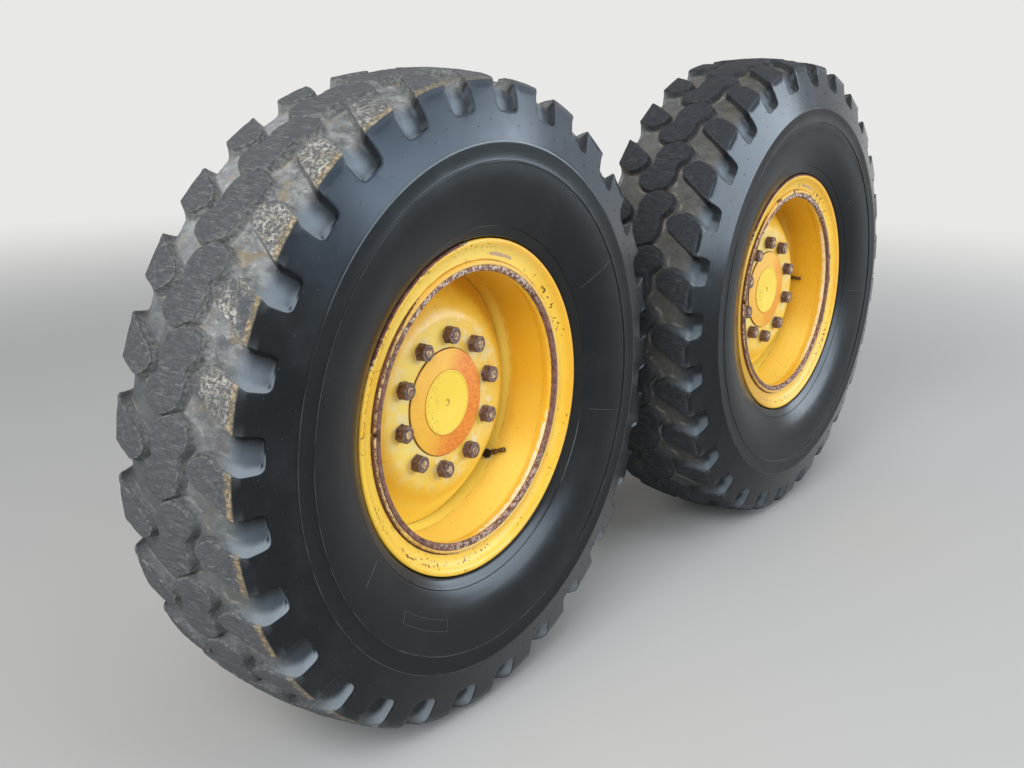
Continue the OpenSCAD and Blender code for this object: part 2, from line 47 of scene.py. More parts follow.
camera = bpy.data.objects.new("photo_camera", bpy.data.cameras.new("photo_camera"))
camera.data.lens, camera.data.sensor_width = 43.708, 36
camera.matrix_world = Matrix(
    [(right[k], up[k], -ahead[k], eye[k]) for k in range(3)] + [(0, 0, 0, 1)]
)
bpy.context.scene.collection.objects.link(camera)
bpy.context.scene.camera = camera


# Pivot housing. A steel casting that bolts to the end of the rear axle, with the trunnion that the
# chain case rocks on. It is painted with the machine, and the paint is scratched and grimy by now.
def srgb(*levels):
    """A colour as a screen shows it, 0 to 255, in the linear values that a shader takes."""
    shares = [level / 255 for level in levels]
    return (*(c / 12.92 if c <= 0.04045 else ((c + 0.055) / 1.055) ** 2.4 for c in shares), 1.0)


class Value:
    """A number or colour that a node gives. A sum with it is one more node."""

    def __init__(self, nodes, socket):
        self.nodes, self.socket = nodes, socket

    def math(self, operation, a, b):
        return self.nodes.node("ShaderNodeMath", 0, {0: a, 1: b}, operation=operation)

    def __add__(self, other):
        return self.math("ADD", self, other)

    def __rsub__(self, other):
        return self.math("SUBTRACT", other, self)

    def __mul__(self, other):
        return self.math("MULTIPLY", self, other)

    def __or__(self, other):
        """The greater of two."""
        return self.math("MAXIMUM", self, other)

    def size(self):
        return self.math("ABSOLUTE", self, 0.0)

    def rise(self, low, high, kind="SMOOTHSTEP"):
        """0 at low and 1 at high, or the other way round, smooth between."""
        inputs = {"Value": self, "From Min": low, "From Max": high}
        return self.nodes.node("ShaderNodeMapRange", "Result", inputs, interpolation_type=kind)

    def near(self, middle, reach):
        """1 where a value is at the middle of a band, down to 0 at its reach."""
        return (self + -middle).size().rise(reach, 0.0)

    def coats(self, *layers):
        """This colour under others. Each has its share, 0 to 1, and its colour."""
        colour = self
        for share, over in layers:
            colour = self.nodes.blend(share, colour, over)
        return colour


class Nodes:
    """The nodes of a material or of the world."""

    def __init__(self, tree):
        self.tree = tree

    def join(self, socket, value):
        """Feeds a socket. A colour of three numbers is one as a screen shows it."""
        if isinstance(value, Value):
            self.tree.links.new(value.socket, socket)
        elif socket.type == "RGBA" and len(value) == 3:
            socket.default_value = srgb(*value)
        else:
            socket.default_value = value

    def node(self, kind, output, inputs=(), **settings):
        """Adds a node and gives one of its outputs. inputs pairs its sockets with values."""
        made = self.tree.nodes.new(kind)
        for name, value in settings.items():
            setattr(made, name, value)
        for name, value in dict(inputs).items():
            self.join(made.inputs[name], value)
        return Value(self, made.outputs[output])

    def vector(self, operation, output, a, b=(0, 0, 0)):
        return self.node("ShaderNodeVectorMath", output, {0: a, 1: b}, operation=operation)

    def blend(self, share, a, b):
        """Colour a where share is 0 and b where it is 1."""
        return self.node("ShaderNodeMix", 2, {0: share, 6: a, 7: b}, data_type="RGBA")

    def ray(self, kind):
        return self.node("ShaderNodeLightPath", f"Is {kind} Ray")


class Finish(Nodes):
    """The finish of a piece, mixed round one shader. Its shift makes like pieces differ."""

    def __init__(self, name, shift=0.0):
        self.material = bpy.data.materials.new(name)
        self.material.use_nodes = True
        super().__init__(self.material.node_tree)
        self.shader = self.tree.nodes["Principled BSDF"]
        self.place = self.node("ShaderNodeTexCoord", "Object")
        self.shift = shift

    def spread(self, stretch):
        """The place on the piece, stretched and shifted."""
        shift = (self.shift, self.shift * 0.7, self.shift * 0.4)
        inputs = {"Vector": self.place, "Scale": stretch, "Location": shift}
        return self.node("ShaderNodeMapping", "Vector", inputs)

    def grain(self, size, detail=3.0, roughness=0.55, stretch=(1, 1, 1)):
        """Soft marks about size metres across, 0 to 1."""
        inputs = {"Vector": self.spread(stretch), "Scale": 1 / size}
        inputs |= {"Detail": detail, "Roughness": roughness}
        return self.node("ShaderNodeTexNoise", "Fac", inputs)

    def spots(self, size, low, high, *grain):
        """Marks of that size, 0 where they are below low and 1 above high."""
        return self.grain(size, *grain).rise(low, high)

    def bump(self, height, depth, normal=None):
        """The normal of a surface that height, 0 to 1, raises by depth metres."""
        inputs = {"Height": height, "Distance": depth} | ({"Normal": normal} if normal else {})
        return self.node("ShaderNodeBump", "Normal", inputs)

    def eased_edges(self, radius):
        """The normal of a surface whose edges are rounded off."""
        return self.node("ShaderNodeBevel", "Normal", {"Radius": radius}, samples=4)

    def edges(self, radius):
        """1 along the edges of the piece."""
        flat = self.node("ShaderNodeNewGeometry", "Normal")
        return self.vector("DOT_PRODUCT", "Value", self.eased_edges(radius), flat).rise(0.985, 0.9)

    def along(self, axis):
        return self.node("ShaderNodeSeparateXYZ", axis, {0: self.place})

    def off_axle(self):
        """The distance from the wheel's own axle."""
        return self.vector("LENGTH", "Value", self.vector("MULTIPLY", 0, self.place, (1, 0, 1)))

    def toward(self, angle, reach):
        """1 in a direction round the axle, in degrees, down to 0 at reach degrees beside it."""
        unit = self.vector("NORMALIZE", 0, self.vector("MULTIPLY", 0, self.place, (1, 0, 1)))
        way = (math.cos(math.radians(angle)), 0, math.sin(math.radians(angle)))
        none, full = (math.cos(math.radians(a)) for a in (reach, reach * 0.5))
        return self.vector("DOT_PRODUCT", "Value", unit, way).rise(none, full)

    def set(self, colour, roughness=None, metal=None, normal=None):
        names = ("Base Color", "Roughness", "Metallic", "Normal")
        for name, value in zip(names, (colour, roughness, metal, normal)):
            if value is not None:
                self.join(self.shader.inputs[name], value)
        return self


YELLOW, DEEP_YELLOW, PALE_YELLOW = (243, 196, 62), (232, 172, 40), (246, 212, 112)
PRIMER, GRIME, BARE_METAL = (232, 220, 184), (88, 68, 44), (206, 188, 172)
RUST_DARK, RUST_PURPLE, RUST_ORANGE = (78, 50, 44), (124, 84, 72), (170, 100, 48)


def rust(finish, size=0.02):
    """The colour of old rust: purple brown, with darker and more orange patches."""
    patches = finish.spots(size, 0.35, 0.65, 5, 0.65)
    specks = finish.spots(size / 6, 0.52, 0.70, 3, 0.6)
    return finish.blend(patches, RUST_DARK, RUST_PURPLE).coats((specks * 0.7, RUST_ORANGE))


def old_paint(finish, bare, grimy=0.5, tone=YELLOW, easing=0.0):
    """Yellow paint over steel, gone where bare is 1 and chipped along that place's edge."""
    dirt = finish.spots(0.018, 0.56, 0.78, 6, 0.7)
    ragged = bare + finish.grain(0.007, 4, 0.7) * 0.9
    paint = finish.blend(finish.spots(0.30, 0.35, 0.68, 2) * 0.55, tone, DEEP_YELLOW).coats(
        (finish.spots(0.05, 0.45, 0.75, 4) * 0.35, PALE_YELLOW),
        (dirt * (0.45 * grimy), GRIME),
        (ragged.rise(0.95, 1.03) * 0.6, PRIMER),
    )
    flecks = finish.spots(0.0045, 0.705, 0.735, 2, 0.5)
    gone = ragged.rise(1.02, 1.08) | flecks * finish.spots(0.09, 0.48, 0.62, 2)
    height = gone * -1.0 + finish.grain(0.003, 2) * 0.25
    normal = finish.bump(height, 0.0005, finish.eased_edges(easing) if easing else None)
    colour = paint.coats((gone, rust(finish)))
    finish.join(finish.shader.inputs["Specular IOR Level"], 0.35)
    finish.set(colour, gone * 0.34 + 0.35 + dirt * 0.15, normal=normal)
    return colour


def dress(finish, *nodes):
    """Gives CAD nodes their finish."""
    for node in nodes:
        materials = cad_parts[node].data.materials
        materials.clear()
        materials.append(finish.material)


casting = Finish("painted_casting")
old_paint(casting, casting.edges(0.005) * 0.75, 1.0, easing=0.002)
dress(casting, "pivot_housing")


# Shaft carrier, thrust ring and bush. The carrier is a turned steel plug that closes the pivot's
# bore round the drive shaft's socket. The case turns on a bronze bush and against a bronze ring.
turned_steel = Finish("turned_steel")
lathe_marks = turned_steel.node(
    "ShaderNodeTexWave",
    "Fac",
    {"Vector": turned_steel.spread((1, 0, 1)), "Scale": 300.0, "Distortion": 0.4},
    wave_type="RINGS",
    rings_direction="Y",
)
oily = turned_steel.spots(0.04, 0.45, 0.7, 5)
turned_steel.set(
    turned_steel.blend(oily, (138, 136, 132), (74, 66, 58)),
    oily * 0.25 + 0.32,
    0.85,
    turned_steel.bump(lathe_marks, 0.0001, turned_steel.eased_edges(0.001)),
)
bronze = Finish("bronze")
stain = bronze.spots(0.03, 0.42, 0.7, 5)
stained = bronze.blend(stain, (186, 138, 74), (96, 68, 40))
bronze.set(stained, stain * 0.3 + 0.3, 0.9, bronze.eased_edges(0.0008))
dress(turned_steel, "shaft_carrier")
dress(bronze, "thrust_ring", "pivot_bush")


# Retaining ring. A turned steel ring inside the case, held to the end of the trunnion by twelve
# bolts. It keeps the case from sliding off.
dress(turned_steel, "retainer_ring")


# Chain case. Two thick side plates with a band bent round between them, welded all along both
# edges, and a boss for the bush welded into the inner plate. The welds are painted over as laid.
def rounded_run(corners, cut, closed=True, arc=3):
    """The points of a run of corners, each rounded back to cut, or to its own third value."""
    made = []
    for i, corner in enumerate(corners):
        here = np.array(corner[:2], float)
        own = corner[2] if len(corner) > 2 else cut
        if own <= 0 or not closed and i in (0, len(corners) - 1):
            made.append(here)
            continue
        before, after = (
            np.array(corners[k % len(corners)][:2], float) - here for k in (i - 1, i + 1)
        )
        before *= min(own / np.linalg.norm(before), 0.45)
        after *= min(own / np.linalg.norm(after), 0.45)
        for t in np.linspace(0, 1, arc + 1):
            made.append(here + (1 - t) ** 2 * before + t**2 * after)
    return np.array(made)


def mesh_of(points, faces, sharp_over=38, marks=None, joint=2e-5):
    """A closed mesh from points in millimetres, smooth but for edges sharper than sharp_over."""
    mesh = bpy.data.meshes.new("mesh")
    mesh.from_pydata([tuple(p) for p in np.asarray(points, float) * 0.001], [], faces)
    for label, values in (marks or {}).items():
        data = mesh.attributes.new(label, "FLOAT", "POINT").data
        data.foreach_set("value", values.astype(np.float32))
    work = bmesh.new()
    work.from_mesh(mesh)
    bmesh.ops.remove_doubles(work, verts=work.verts, dist=joint)
    if not marks:
        bmesh.ops.dissolve_degenerate(work, edges=work.edges, dist=1e-6)
    bmesh.ops.recalc_face_normals(work, faces=work.faces)
    work.to_mesh(mesh)
    work.free()
    mesh.shade_smooth()
    mesh.set_sharp_from_angle(angle=math.radians(sharp_over))
    return mesh


def new_piece(name, mesh, body, finish, at=(0, 0, 0), stands_for=()):
    """Puts a mesh in the scene, on its body."""
    mesh.name = name
    piece = bpy.data.objects.new(name, mesh)
    piece.location = at
    bpy.context.scene.collection.objects.link(piece)
    mesh.materials.append(finish.material)
    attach(piece, body)
    if stands_for:
        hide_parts(*stands_for)


def ring_faces(rings, around, closed=True):
    """Quads between rings of points that lie one after another."""
    faces = []
    for i in range(rings if closed else rings - 1):
        here, there = i * around, (i + 1) % rings * around
        for j in range(around):
            k = (j + 1) % around
            faces.append((here + j, there + j, there + k, here + k))
    return faces


def weld_bead(name, path, size, finish, body, ripple=9.0):
    """A weld laid along a closed path in millimetres, with the ripples of its passes."""
    sides = 8
    path = np.asarray(path, float)
    ahead_of = np.roll(path, -1, 0) - np.roll(path, 1, 0)
    ahead_of /= np.linalg.norm(ahead_of, axis=1)[:, None]
    lengths = np.linalg.norm(np.roll(path, -1, 0) - path, axis=1)
    along = np.r_[0, np.cumsum(lengths)[:-1]]
    points = []
    for place, out, run in zip(path, np.cross(ahead_of, (0, 1, 0)), along):
        swell = 1 + 0.10 * abs(math.sin(math.pi * run / ripple))
        swell += 0.12 * noise.noise(Vector(place) * 0.05)
        for k in range(sides):
            turn = 2 * math.pi * k / sides
            across = np.array((0, 1, 0)) * math.sin(turn) + out * math.cos(turn)
            points.append(place + size * swell * across)
    mesh = mesh_of(points, ring_faces(len(path), sides), 80)
    new_piece(name, mesh, body, finish)


case_paint = Finish("case_paint", 3.0)
scraped = case_paint.spots(0.045, 0.66, 0.80, 5, 0.7)
painted = old_paint(case_paint, case_paint.edges(0.006) * 0.75 | scraped * 0.5, 1.0, easing=0.002)
splashed = case_paint.along("Z").rise(0.10, -0.31) + case_paint.grain(0.09, 6, 0.72) * 1.1
runs = case_paint.spots(0.022, 0.58, 0.74, 4, 0.6, (1, 1, 0.10))
case_paint.set(
    painted.coats(
        (runs * 0.40, (150, 104, 46)),
        (splashed.rise(0.98, 1.75) * 0.80, (112, 98, 74)),
    )
)
dress(case_paint, "case_inner_plate", "case_outer_plate", "case_band")

axle_z = -30.0
half_base = 755.0
band_reach = 278.0
boss_radius = 222.5
straight = np.arange(-half_base, half_base, 3.0)
end_turn = np.radians(np.arange(-90, 90, 0.65))
round_case = []
for way in (1, -1):
    round_case += [(way * x, -way * band_reach) for x in straight]
    round_case += [
        (way * (half_base + band_reach * math.cos(a)), way * band_reach * math.sin(a))
        for a in end_turn
    ]
for side_name, weld_y in (("inner", 88.0), ("outer", 254.0)):
    path = [(x, weld_y, axle_z + z) for x, z in round_case]
    weld_bead(f"case_{side_name}_weld", path, 5.0, case_paint, "case")
path = [
    (boss_radius * math.cos(a), 69.0, boss_radius * math.sin(a))
    for a in np.radians(np.arange(0, 360, 0.8))
]
weld_bead("pivot_boss_weld", path, 5.0, case_paint, "case")


# Case covers. Flame cut plates with turned edges, bolted over the holes that the chains and their
# sprockets were fitted through. Each bolt sits on a washer, and both have rusted by now.
def turned(section, steps=180, split=None):
    """A ring or disc turned about the axle from the corners of its section, (radius, across)."""
    section = rounded_run(section, 1.0)
    turns = 2 * np.pi * np.arange(steps) / steps
    faces = ring_faces(len(section), steps)
    if split:
        middle, width = np.radians(split)
        turns = np.linspace(middle + width / 2, middle + 2 * math.pi - width / 2, steps)
        faces = [f for f in faces if abs(f[0] % steps - f[2] % steps) == 1]
        faces += [tuple(range(k, len(section) * steps, steps)) for k in (0, steps - 1)]
    points = [(r * math.cos(a), w, r * math.sin(a)) for r, w in section for a in turns]
    return mesh_of(points, faces)


def fastener(across_flats, height, washer=0.0, stud=0.0, wear=0.9):
    """Points and faces of a bolt head, or of a nut on its stud, standing on z = 0."""
    count = 36
    angles = np.radians(np.arange(0, 360, 360 // count))
    off_flat = np.radians((np.degrees(angles) + 30) % 60 - 30)
    flats = np.minimum(across_flats / 2 / np.cos(off_flat), across_flats * 0.555)
    top = np.full(count, across_flats / 2 * wear)
    fall = np.maximum(flats - top, 0) * 0.62
    start = 3.0 if washer else 2.6 if stud else 0.0
    rings = [(0.0, -1.0)]
    if washer:
        rings += [(washer, -1.0), (washer, 2.2), (washer - 0.8, start)]
    if stud:
        rings += [(flats * 1.05, -1.0), (flats * 1.05, 1.0)]
    rings += [(flats * 0.985, start), (flats, start + 1.0)]
    rings += [(flats, height - fall - 0.6), (flats * 0.985, height - fall), (top, height)]
    if stud:
        steps = ((1.5, 0.0), (0.5, -1.3), (-0.1, -1.3), (-0.1, 0.4), (-1.4, 1.5))
        rings += [(stud + reach, height + rise) for reach, rise in steps]
        rings += [(0.0, height + 1.5)]
    else:
        rings += [(top * 0.8, height - 0.3), (0.0, height - 0.3)]
    points = []
    for radius, level in rings:
        radius, level, _ = np.broadcast_arrays(radius, level, angles)
        points += [
            (r * math.cos(a), r * math.sin(a), z) for r, z, a in zip(radius, level, angles)
        ]
    return np.array(points), ring_faces(len(rings), count, closed=False)


def joined(parts):
    """The points and faces of several (points, faces) as one."""
    points, faces, count = [], [], 0
    for own_points, own_faces in parts:
        points.append(own_points)
        faces += [tuple(i + count for i in face) for face in own_faces]
        count += len(own_points)
    return np.concatenate(points), faces


def set_round(part, count, radius, level, first, outboard, twist):
    """Copies of a fastener round the axle, standing on the face at level."""
    points, faces = part
    parts = []
    for i in range(count):
        a = math.radians(first + i * 360 / count)
        own = math.radians(twist[i % len(twist)])
        x = (points[:, 0] * math.cos(own) - points[:, 1] * math.sin(own)) * outboard
        z = points[:, 0] * math.sin(own) + points[:, 1] * math.cos(own)
        placed = [
            radius * math.cos(a) + x * math.cos(a) - z * math.sin(a),
            level + outboard * points[:, 2],
            radius * math.sin(a) + x * math.sin(a) + z * math.cos(a),
        ]
        parts.append((np.stack(placed, 1), faces))
    return joined(parts)


def rusty(name, shift):
    """Steel that has rusted all over, rough and pitted."""
    finish = Finish(name, shift)
    height = finish.grain(0.0022, 4, 0.7) + finish.grain(0.008, 3) * 1.5
    worn = finish.spots(0.005, 0.60, 0.75, 3)
    colour = finish.blend(worn * 0.35, rust(finish, 0.012), BARE_METAL)
    return finish.set(colour, 0.62, 0.15, finish.bump(height, 0.0006))


bolt_rust = rusty("rusted_bolts", 5.0)
bolt_turns = (4, 31, 17, 52, 8, 40, 23)
cover_bolt = fastener(24, 13, washer=17)
cover_section = [(0, 0, 0), (0, 12, 0), (143, 12, 1.5), (145, 10.5, 1.5), (145, 0, 0)]
for name, at, outboard in (
    ("round_cover", (0, 0.274, 0), 1),
    ("front_chain_cover", (0.755, 0.070, -0.030), -1),
    ("rear_chain_cover", (-0.755, 0.070, -0.030), -1),
):
    plate = turned([(r, w * outboard, cut) for r, w, cut in cover_section])
    new_piece(f"{name}_plate", plate, "case", case_paint, at, [name])
    bolts = mesh_of(*set_round(cover_bolt, 8, 129, 12.0 * outboard, 22.5, outboard, bolt_turns))
    new_piece(f"{name}_bolts", bolts, "case", bolt_rust, at)
dress(case_paint, "front_top_cover", "rear_top_cover")
dress(rusty("rusted_plugs", 9.0), "filler_plug", "level_plug", "drain_plug")


# Spindles. Each is a cast brake housing with a bolted flange, and the steel spindle that the hub
# turns on stands out of it. The casting's skin is rough under the paint, and dust lies on top.
dress(casting, "front_spindle", "rear_spindle")


# Hubs. A hub is a turned casting on two bearings, seen only from behind the wheel. It is yellow,
# with grease and dust thrown over its back.
hub_paint = Finish("greasy_hub", 7.0)
old_paint(hub_paint, hub_paint.edges(0.004) * 0.7, 1.6, easing=0.0015)
dress(hub_paint, "front_hub", "rear_hub")


# Wheel discs. A disc is pressed from thick plate: flat where the studs clamp it, then dished back
# to the rim, where it is welded in. Wrenches have worn the paint to pale primer round the nuts.
wheels = (("front", 11.0, 1.0), ("rear", 23.0, 1.9))
hub_at = {"front": (0.755, 0.507, -0.030), "rear": (-0.755, 0.507, -0.030)}
disc_face = 58.5
disc_plate = 16.0


def wheel_piece(end, name, mesh, finish, cad_piece):
    """Puts a mesh round a wheel's axle, in the place of one of its CAD pieces."""
    body, stands_for = f"{end}_wheel", [f"{end}_{cad_piece}"]
    new_piece(f"{end}_{name}", mesh, body, finish, hub_at[end], stands_for)


def disc_paint(end, shift, wear):
    finish = Finish(f"{end}_disc_paint", shift)
    off = finish.off_axle()
    clamped = off.near(0.142, 0.070)
    patchy = finish.spots(0.075, 0.66, 0.82, 2)
    bare = off.near(0.2795, 0.004) * 0.55 | patchy * (0.35 * wear)
    if end == "rear":
        bare = bare | off.near(0.272, 0.014) * finish.toward(145, 16) * 0.55
    rubbed = finish.spots(0.026, 0.47, 0.64, 4, 0.6)
    pale = finish.blend(finish.grain(0.012, 3), (240, 216, 140), (226, 220, 196))
    colour = old_paint(finish, bare, 0.7).coats(
        (clamped * 0.40, (244, 206, 104)),
        # Painted light: the clamp face lighter toward the front, the dish toward the bottom
        (clamped * finish.toward(20, 100) * 0.5, (255, 232, 124)),
        (off.rise(0.200, 0.235) * finish.toward(-120, 95) * 0.85, (255, 226, 100)),
        (rubbed * clamped * 0.75, pale),
        (off.near(0.2800, 0.0022) * 0.75, (92, 58, 30)),
    )
    return finish.set(colour)


clamp_edge, bend, foot = np.array([(175.0, disc_face), (203.0, disc_face), (279.8, -13.5)])
face_run = [
    (1 - t) ** 2 * clamp_edge + 2 * t * (1 - t) * bend + t * t * foot for t in np.linspace(0, 1, 14)
]
disc_section = [(115.3, disc_face - disc_plate, 1), (115.3, disc_face, 1)]
disc_section += [(r, w, 0) for r, w in face_run]
disc_section += [(r, w - disc_plate, 0) for r, w in reversed(face_run)]
for end, shift, wear in wheels:
    disc = turned(disc_section, 192)
    wheel_piece(end, "wheel_disc", disc, disc_paint(end, shift, wear), "disc")


# Wheel nuts. Ten studs stand out of the hub through the disc, each with a flanged nut. They were
# never painted after the wheel was last off, so they are dark with rust and worn at the corners.
nut_turns = (12, 47, 3, 29, 55, 18, 38, 8, 50, 24)
first_studs = {"front": 22.8, "rear": 18.0}
stud_circle = 142.875


def nut_rust(end, shift):
    finish = Finish(f"{end}_nut_rust", shift)
    lumps = finish.grain(0.007, 4, 0.65)
    rubbed = finish.edges(0.0018) * finish.spots(0.006, 0.35, 0.6, 3)
    stud_end = disc_face * 0.001 + 0.0201
    brassy = finish.blend(lumps.rise(0.42, 0.6), (116, 88, 70), (200, 168, 128))
    colour = finish.blend(lumps.rise(0.38, 0.62), (74, 54, 50), (126, 98, 88)).coats(
        (rubbed * 0.6, (176, 152, 138)),
        (finish.along("Y").rise(stud_end, stud_end + 0.0005), brassy),
    )
    height = finish.grain(0.0022, 4, 0.7) + lumps * 1.5
    return finish.set(colour, 0.42, 0.25, finish.bump(height, 0.0005, finish.eased_edges(0.0008)))


wheel_nut = fastener(34, 20, stud=9.5, wear=0.93)
for end, shift, wear in wheels:
    nuts = set_round(wheel_nut, 10, stud_circle, disc_face, first_studs[end], 1, nut_turns)
    finish = nut_rust(end, shift + 1)
    wheel_piece(end, "nuts_and_studs", mesh_of(*nuts, 30), finish, "wheel_nuts")


# Hub caps. A turned steel cap centres the disc and closes the hub. Its rim has lost its paint and
# gone evenly orange, and the raised middle, with the lathe's centre mark, has kept it.
def cap_finish(end, shift, wear):
    finish = Finish(f"{end}_cap_finish", shift)
    off, x = finish.off_axle(), finish.along("X")
    slant = x * 1.3 + finish.along("Z") * 0.5 + finish.grain(0.06, 3) * 0.08
    worn_side = slant.rise(0.115 - 0.03 * wear, 0.025 - 0.03 * wear)
    mottled = finish.spots(0.006, 0.36, 0.64, 5, 0.7)
    orange = finish.blend(mottled, (222, 114, 22), (240, 148, 34))
    ring = finish.blend(finish.grain(0.012, 4), (244, 190, 54), (240, 172, 44)).coats(
        (worn_side * (1.0 if end == "front" else 0.55), orange),
        (finish.spots(0.0028, 0.64, 0.72, 2) * 0.45, (150, 82, 36)),
    )
    smudges = finish.spots(0.02, 0.55, 0.75, 4, 0.7)
    dots = finish.spots(0.0032, 0.64, 0.69, 1) * x.rise(0.018, 0.034)
    boss = finish.blend(smudges * 0.4, (246, 210, 62), (222, 180, 46)).coats(
        ((dots | finish.spots(0.0030, 0.72, 0.76, 1)) * 0.8, (88, 68, 34)),
        (off.near(0.0066, 0.0016) * 0.8, (120, 84, 38)),
    )
    lines = off.near(0.0698, 0.0014) | off.near(0.0648, 0.0008)
    ragged = off.rise(0.1118, 0.1146) + finish.grain(0.010, 4) * (0.5 * wear)
    colour = ring.coats(
        (off.rise(0.0694, 0.0682), boss),
        (lines * 0.55, (150, 96, 36)),
        (ragged.rise(0.95, 1.05), rust(finish)),
    )
    return finish.set(colour, 0.42, normal=finish.bump(finish.grain(0.002, 3), 0.0003))


cap_section = [
    (0, 42.5, 0), (115, 42.5, 0), (115, 59.6, 0.8), (112.5, 62.4, 0.8), (69.8, 62.4, 0.4),
    (68.8, 64.5, 0.6), (65.4, 64.5, 0.5), (64.4, 63.9, 0.4), (7.6, 63.9, 0.8),
    (6.4, 62.6, 0.6), (3.0, 60.8, 0.6), (0, 60.4, 0),
]
for end, shift, wear in wheels:
    finish = cap_finish(end, shift, wear)
    wheel_piece(end, "turned_cap", turned(cap_section, 144), finish, "hub_cap")


# Rims. The rim base is rolled from one heavy section, and its open edge outboard holds a groove for
# the lock ring. That edge is hammered whenever a tyre is changed, so it is rust and bright chips.
valve_turns = {"front": 220.5, "rear": 182.0}


def rim_finish(end, shift, wear):
    finish = Finish(f"{end}_rim_finish", shift)
    front = end == "front"
    across = finish.along("Y")
    lip = across.rise(0.1255, 0.1335)
    step_lines = across.near(0.0105, 0.003) | across.near(0.1020, 0.002)
    shed_at, shed_from, shed_to = ((155, 48), 0.118, 0.136) if front else ((125, 60), 0.110, 0.134)
    bare = lip | across.rise(0.112, 0.137) * (0.30 * wear) | step_lines * 0.26
    bare = bare | finish.spots(0.05, 0.62, 0.8, 3) * (0.22 * wear)
    bare = bare | finish.toward(*shed_at) * across.rise(shed_from, shed_to) * 0.62
    barrel = across.rise(0.118, 0.098)
    least_dot = 0.70 if front else 0.665
    worst = (-130, 50) if front else (-168, 70)
    flaked = finish.toward(*worst) * across.rise(0.107, 0.123) * 0.56
    flaked = (flaked + finish.grain(0.012, 5, 0.7) * 0.9).rise(0.84, 1.04) * lip.rise(0.8, 0.3)
    hammered = finish.spots(0.008, 0.47, 0.58, 3, 0.65) * lip
    sector = finish.toward(85, 60) | finish.toward(-105, 50) * 0.6
    turn = math.radians(valve_turns[end])
    foot = (0.2854 * math.cos(turn), -0.0012, 0.2854 * math.sin(turn))
    gap = finish.vector("DISTANCE", "Value", finish.place, foot) + finish.grain(0.01, 2) * 0.006
    colour = old_paint(finish, bare, 0.45).coats(
        # Painted light on the barrel and step band toward the bottom, painted shade toward the rear
        (barrel * finish.toward(-112, 74) * 0.75, (255, 228, 116)),
        (barrel * finish.toward(172, 50) * 0.6, (224, 170, 34)),
        (across.near(-0.004, 0.026) * finish.toward(-140, 90) * 0.9, (255, 240, 120)),
        (step_lines * finish.spots(0.03, 0.4, 0.6, 3) * 0.35, (150, 96, 40)),
        (finish.grain(0.005, 2).rise(least_dot, least_dot + 0.04) * 0.65, (104, 66, 28)),
        (flaked * 0.9, (244, 234, 200)),
        (hammered * (sector * 0.80 + 0.12), BARE_METAL),
        (finish.toward(3.5, 3.0) * lip * 0.8, (74, 44, 28)),
        # A painted highlight: a pale ring round the valve's foot
        (gap.near(0.0165, 0.0035) * 0.8, (240, 232, 210)),
    )
    return finish.set(colour)


flange_face = [
    (304.8, 127, 5), (335.3, 127, 5), (344.3, 131, 4), (349.3, 138, 4), (349.3, 145, 2.5),
]
rim_section = [
    (282.8, 134, 3), (284.6, 138.5, 1.5), (294.2, 138.5, 0.8), (294.8, 137.6, 0.6),
    (294.8, 130.5, 0.6), (290.1, 128.5, 0.5), (290.1, 118.5, 0.5), (296.9, 118.5, 0.8),
    (296.9, -52, 1), (298.3, -52, 1), *((r, -w, cut) for r, w, cut in flange_face),
    (346.3, -147, 2), (337.3, -147, 5), (327.3, -144, 6), (302.8, -144, 3), (292.8, -144, 2),
    (290.8, -142, 2), (290.8, -51.5, 4), (287, -41.5, 4), (280, -29.5, 2), (280, -13.5, 0.5),
    (287.4, 3, 4), (290.8, 11.4, 4), (290.8, 101.5, 5), (281.2, 121.5, 4),
]
seam_turns = np.radians(np.arange(0, 360, 0.7))
disc_seam = [(280 * math.cos(a), -31.0, 280 * math.sin(a)) for a in seam_turns]
for end, shift, wear in wheels:
    finish = rim_finish(end, shift + 2, wear)
    wheel_piece(end, "rolled_rim", turned(rim_section, 216), finish, "rim_base")
    path = np.array(disc_seam) + np.array(hub_at[end]) * 1000
    weld_bead(f"{end}_disc_weld", path, 4.5, hub_paint, f"{end}_wheel", 11.0)


# Side rings and lock rings. A loose flange ring holds the tyre's outer bead, and a sprung ring in
# the groove holds it in place. The flange's edge is scuffed, and rust creeps out of the seam.
flange_chips = {  # angle and reach in degrees, radius in metres, how bare
    "front": ((-58, 13, 0.3265, 0.46), (-27, 11, 0.3290, 0.47), (14, 24, 0.3310, 0.40),
              (-150, 20, 0.3300, 0.34), (150, 20, 0.3420, 0.42)),
    "rear": ((-75, 26, 0.3290, 0.42), (110, 30, 0.3200, 0.40), (20, 30, 0.3280, 0.42)),
}
flange_strikes = {
    "front": ((-57, 19, 0.3275), (-27, 14, 0.3310), (-88, 14, 0.3240), (22, 26, 0.3380),
              (61, 7, 0.3400), (88, 16, 0.3330), (150, 24, 0.3180)),
    "rear": ((-75, 30, 0.3290), (115, 30, 0.3180), (20, 34, 0.3280), (-140, 24, 0.3300)),
}


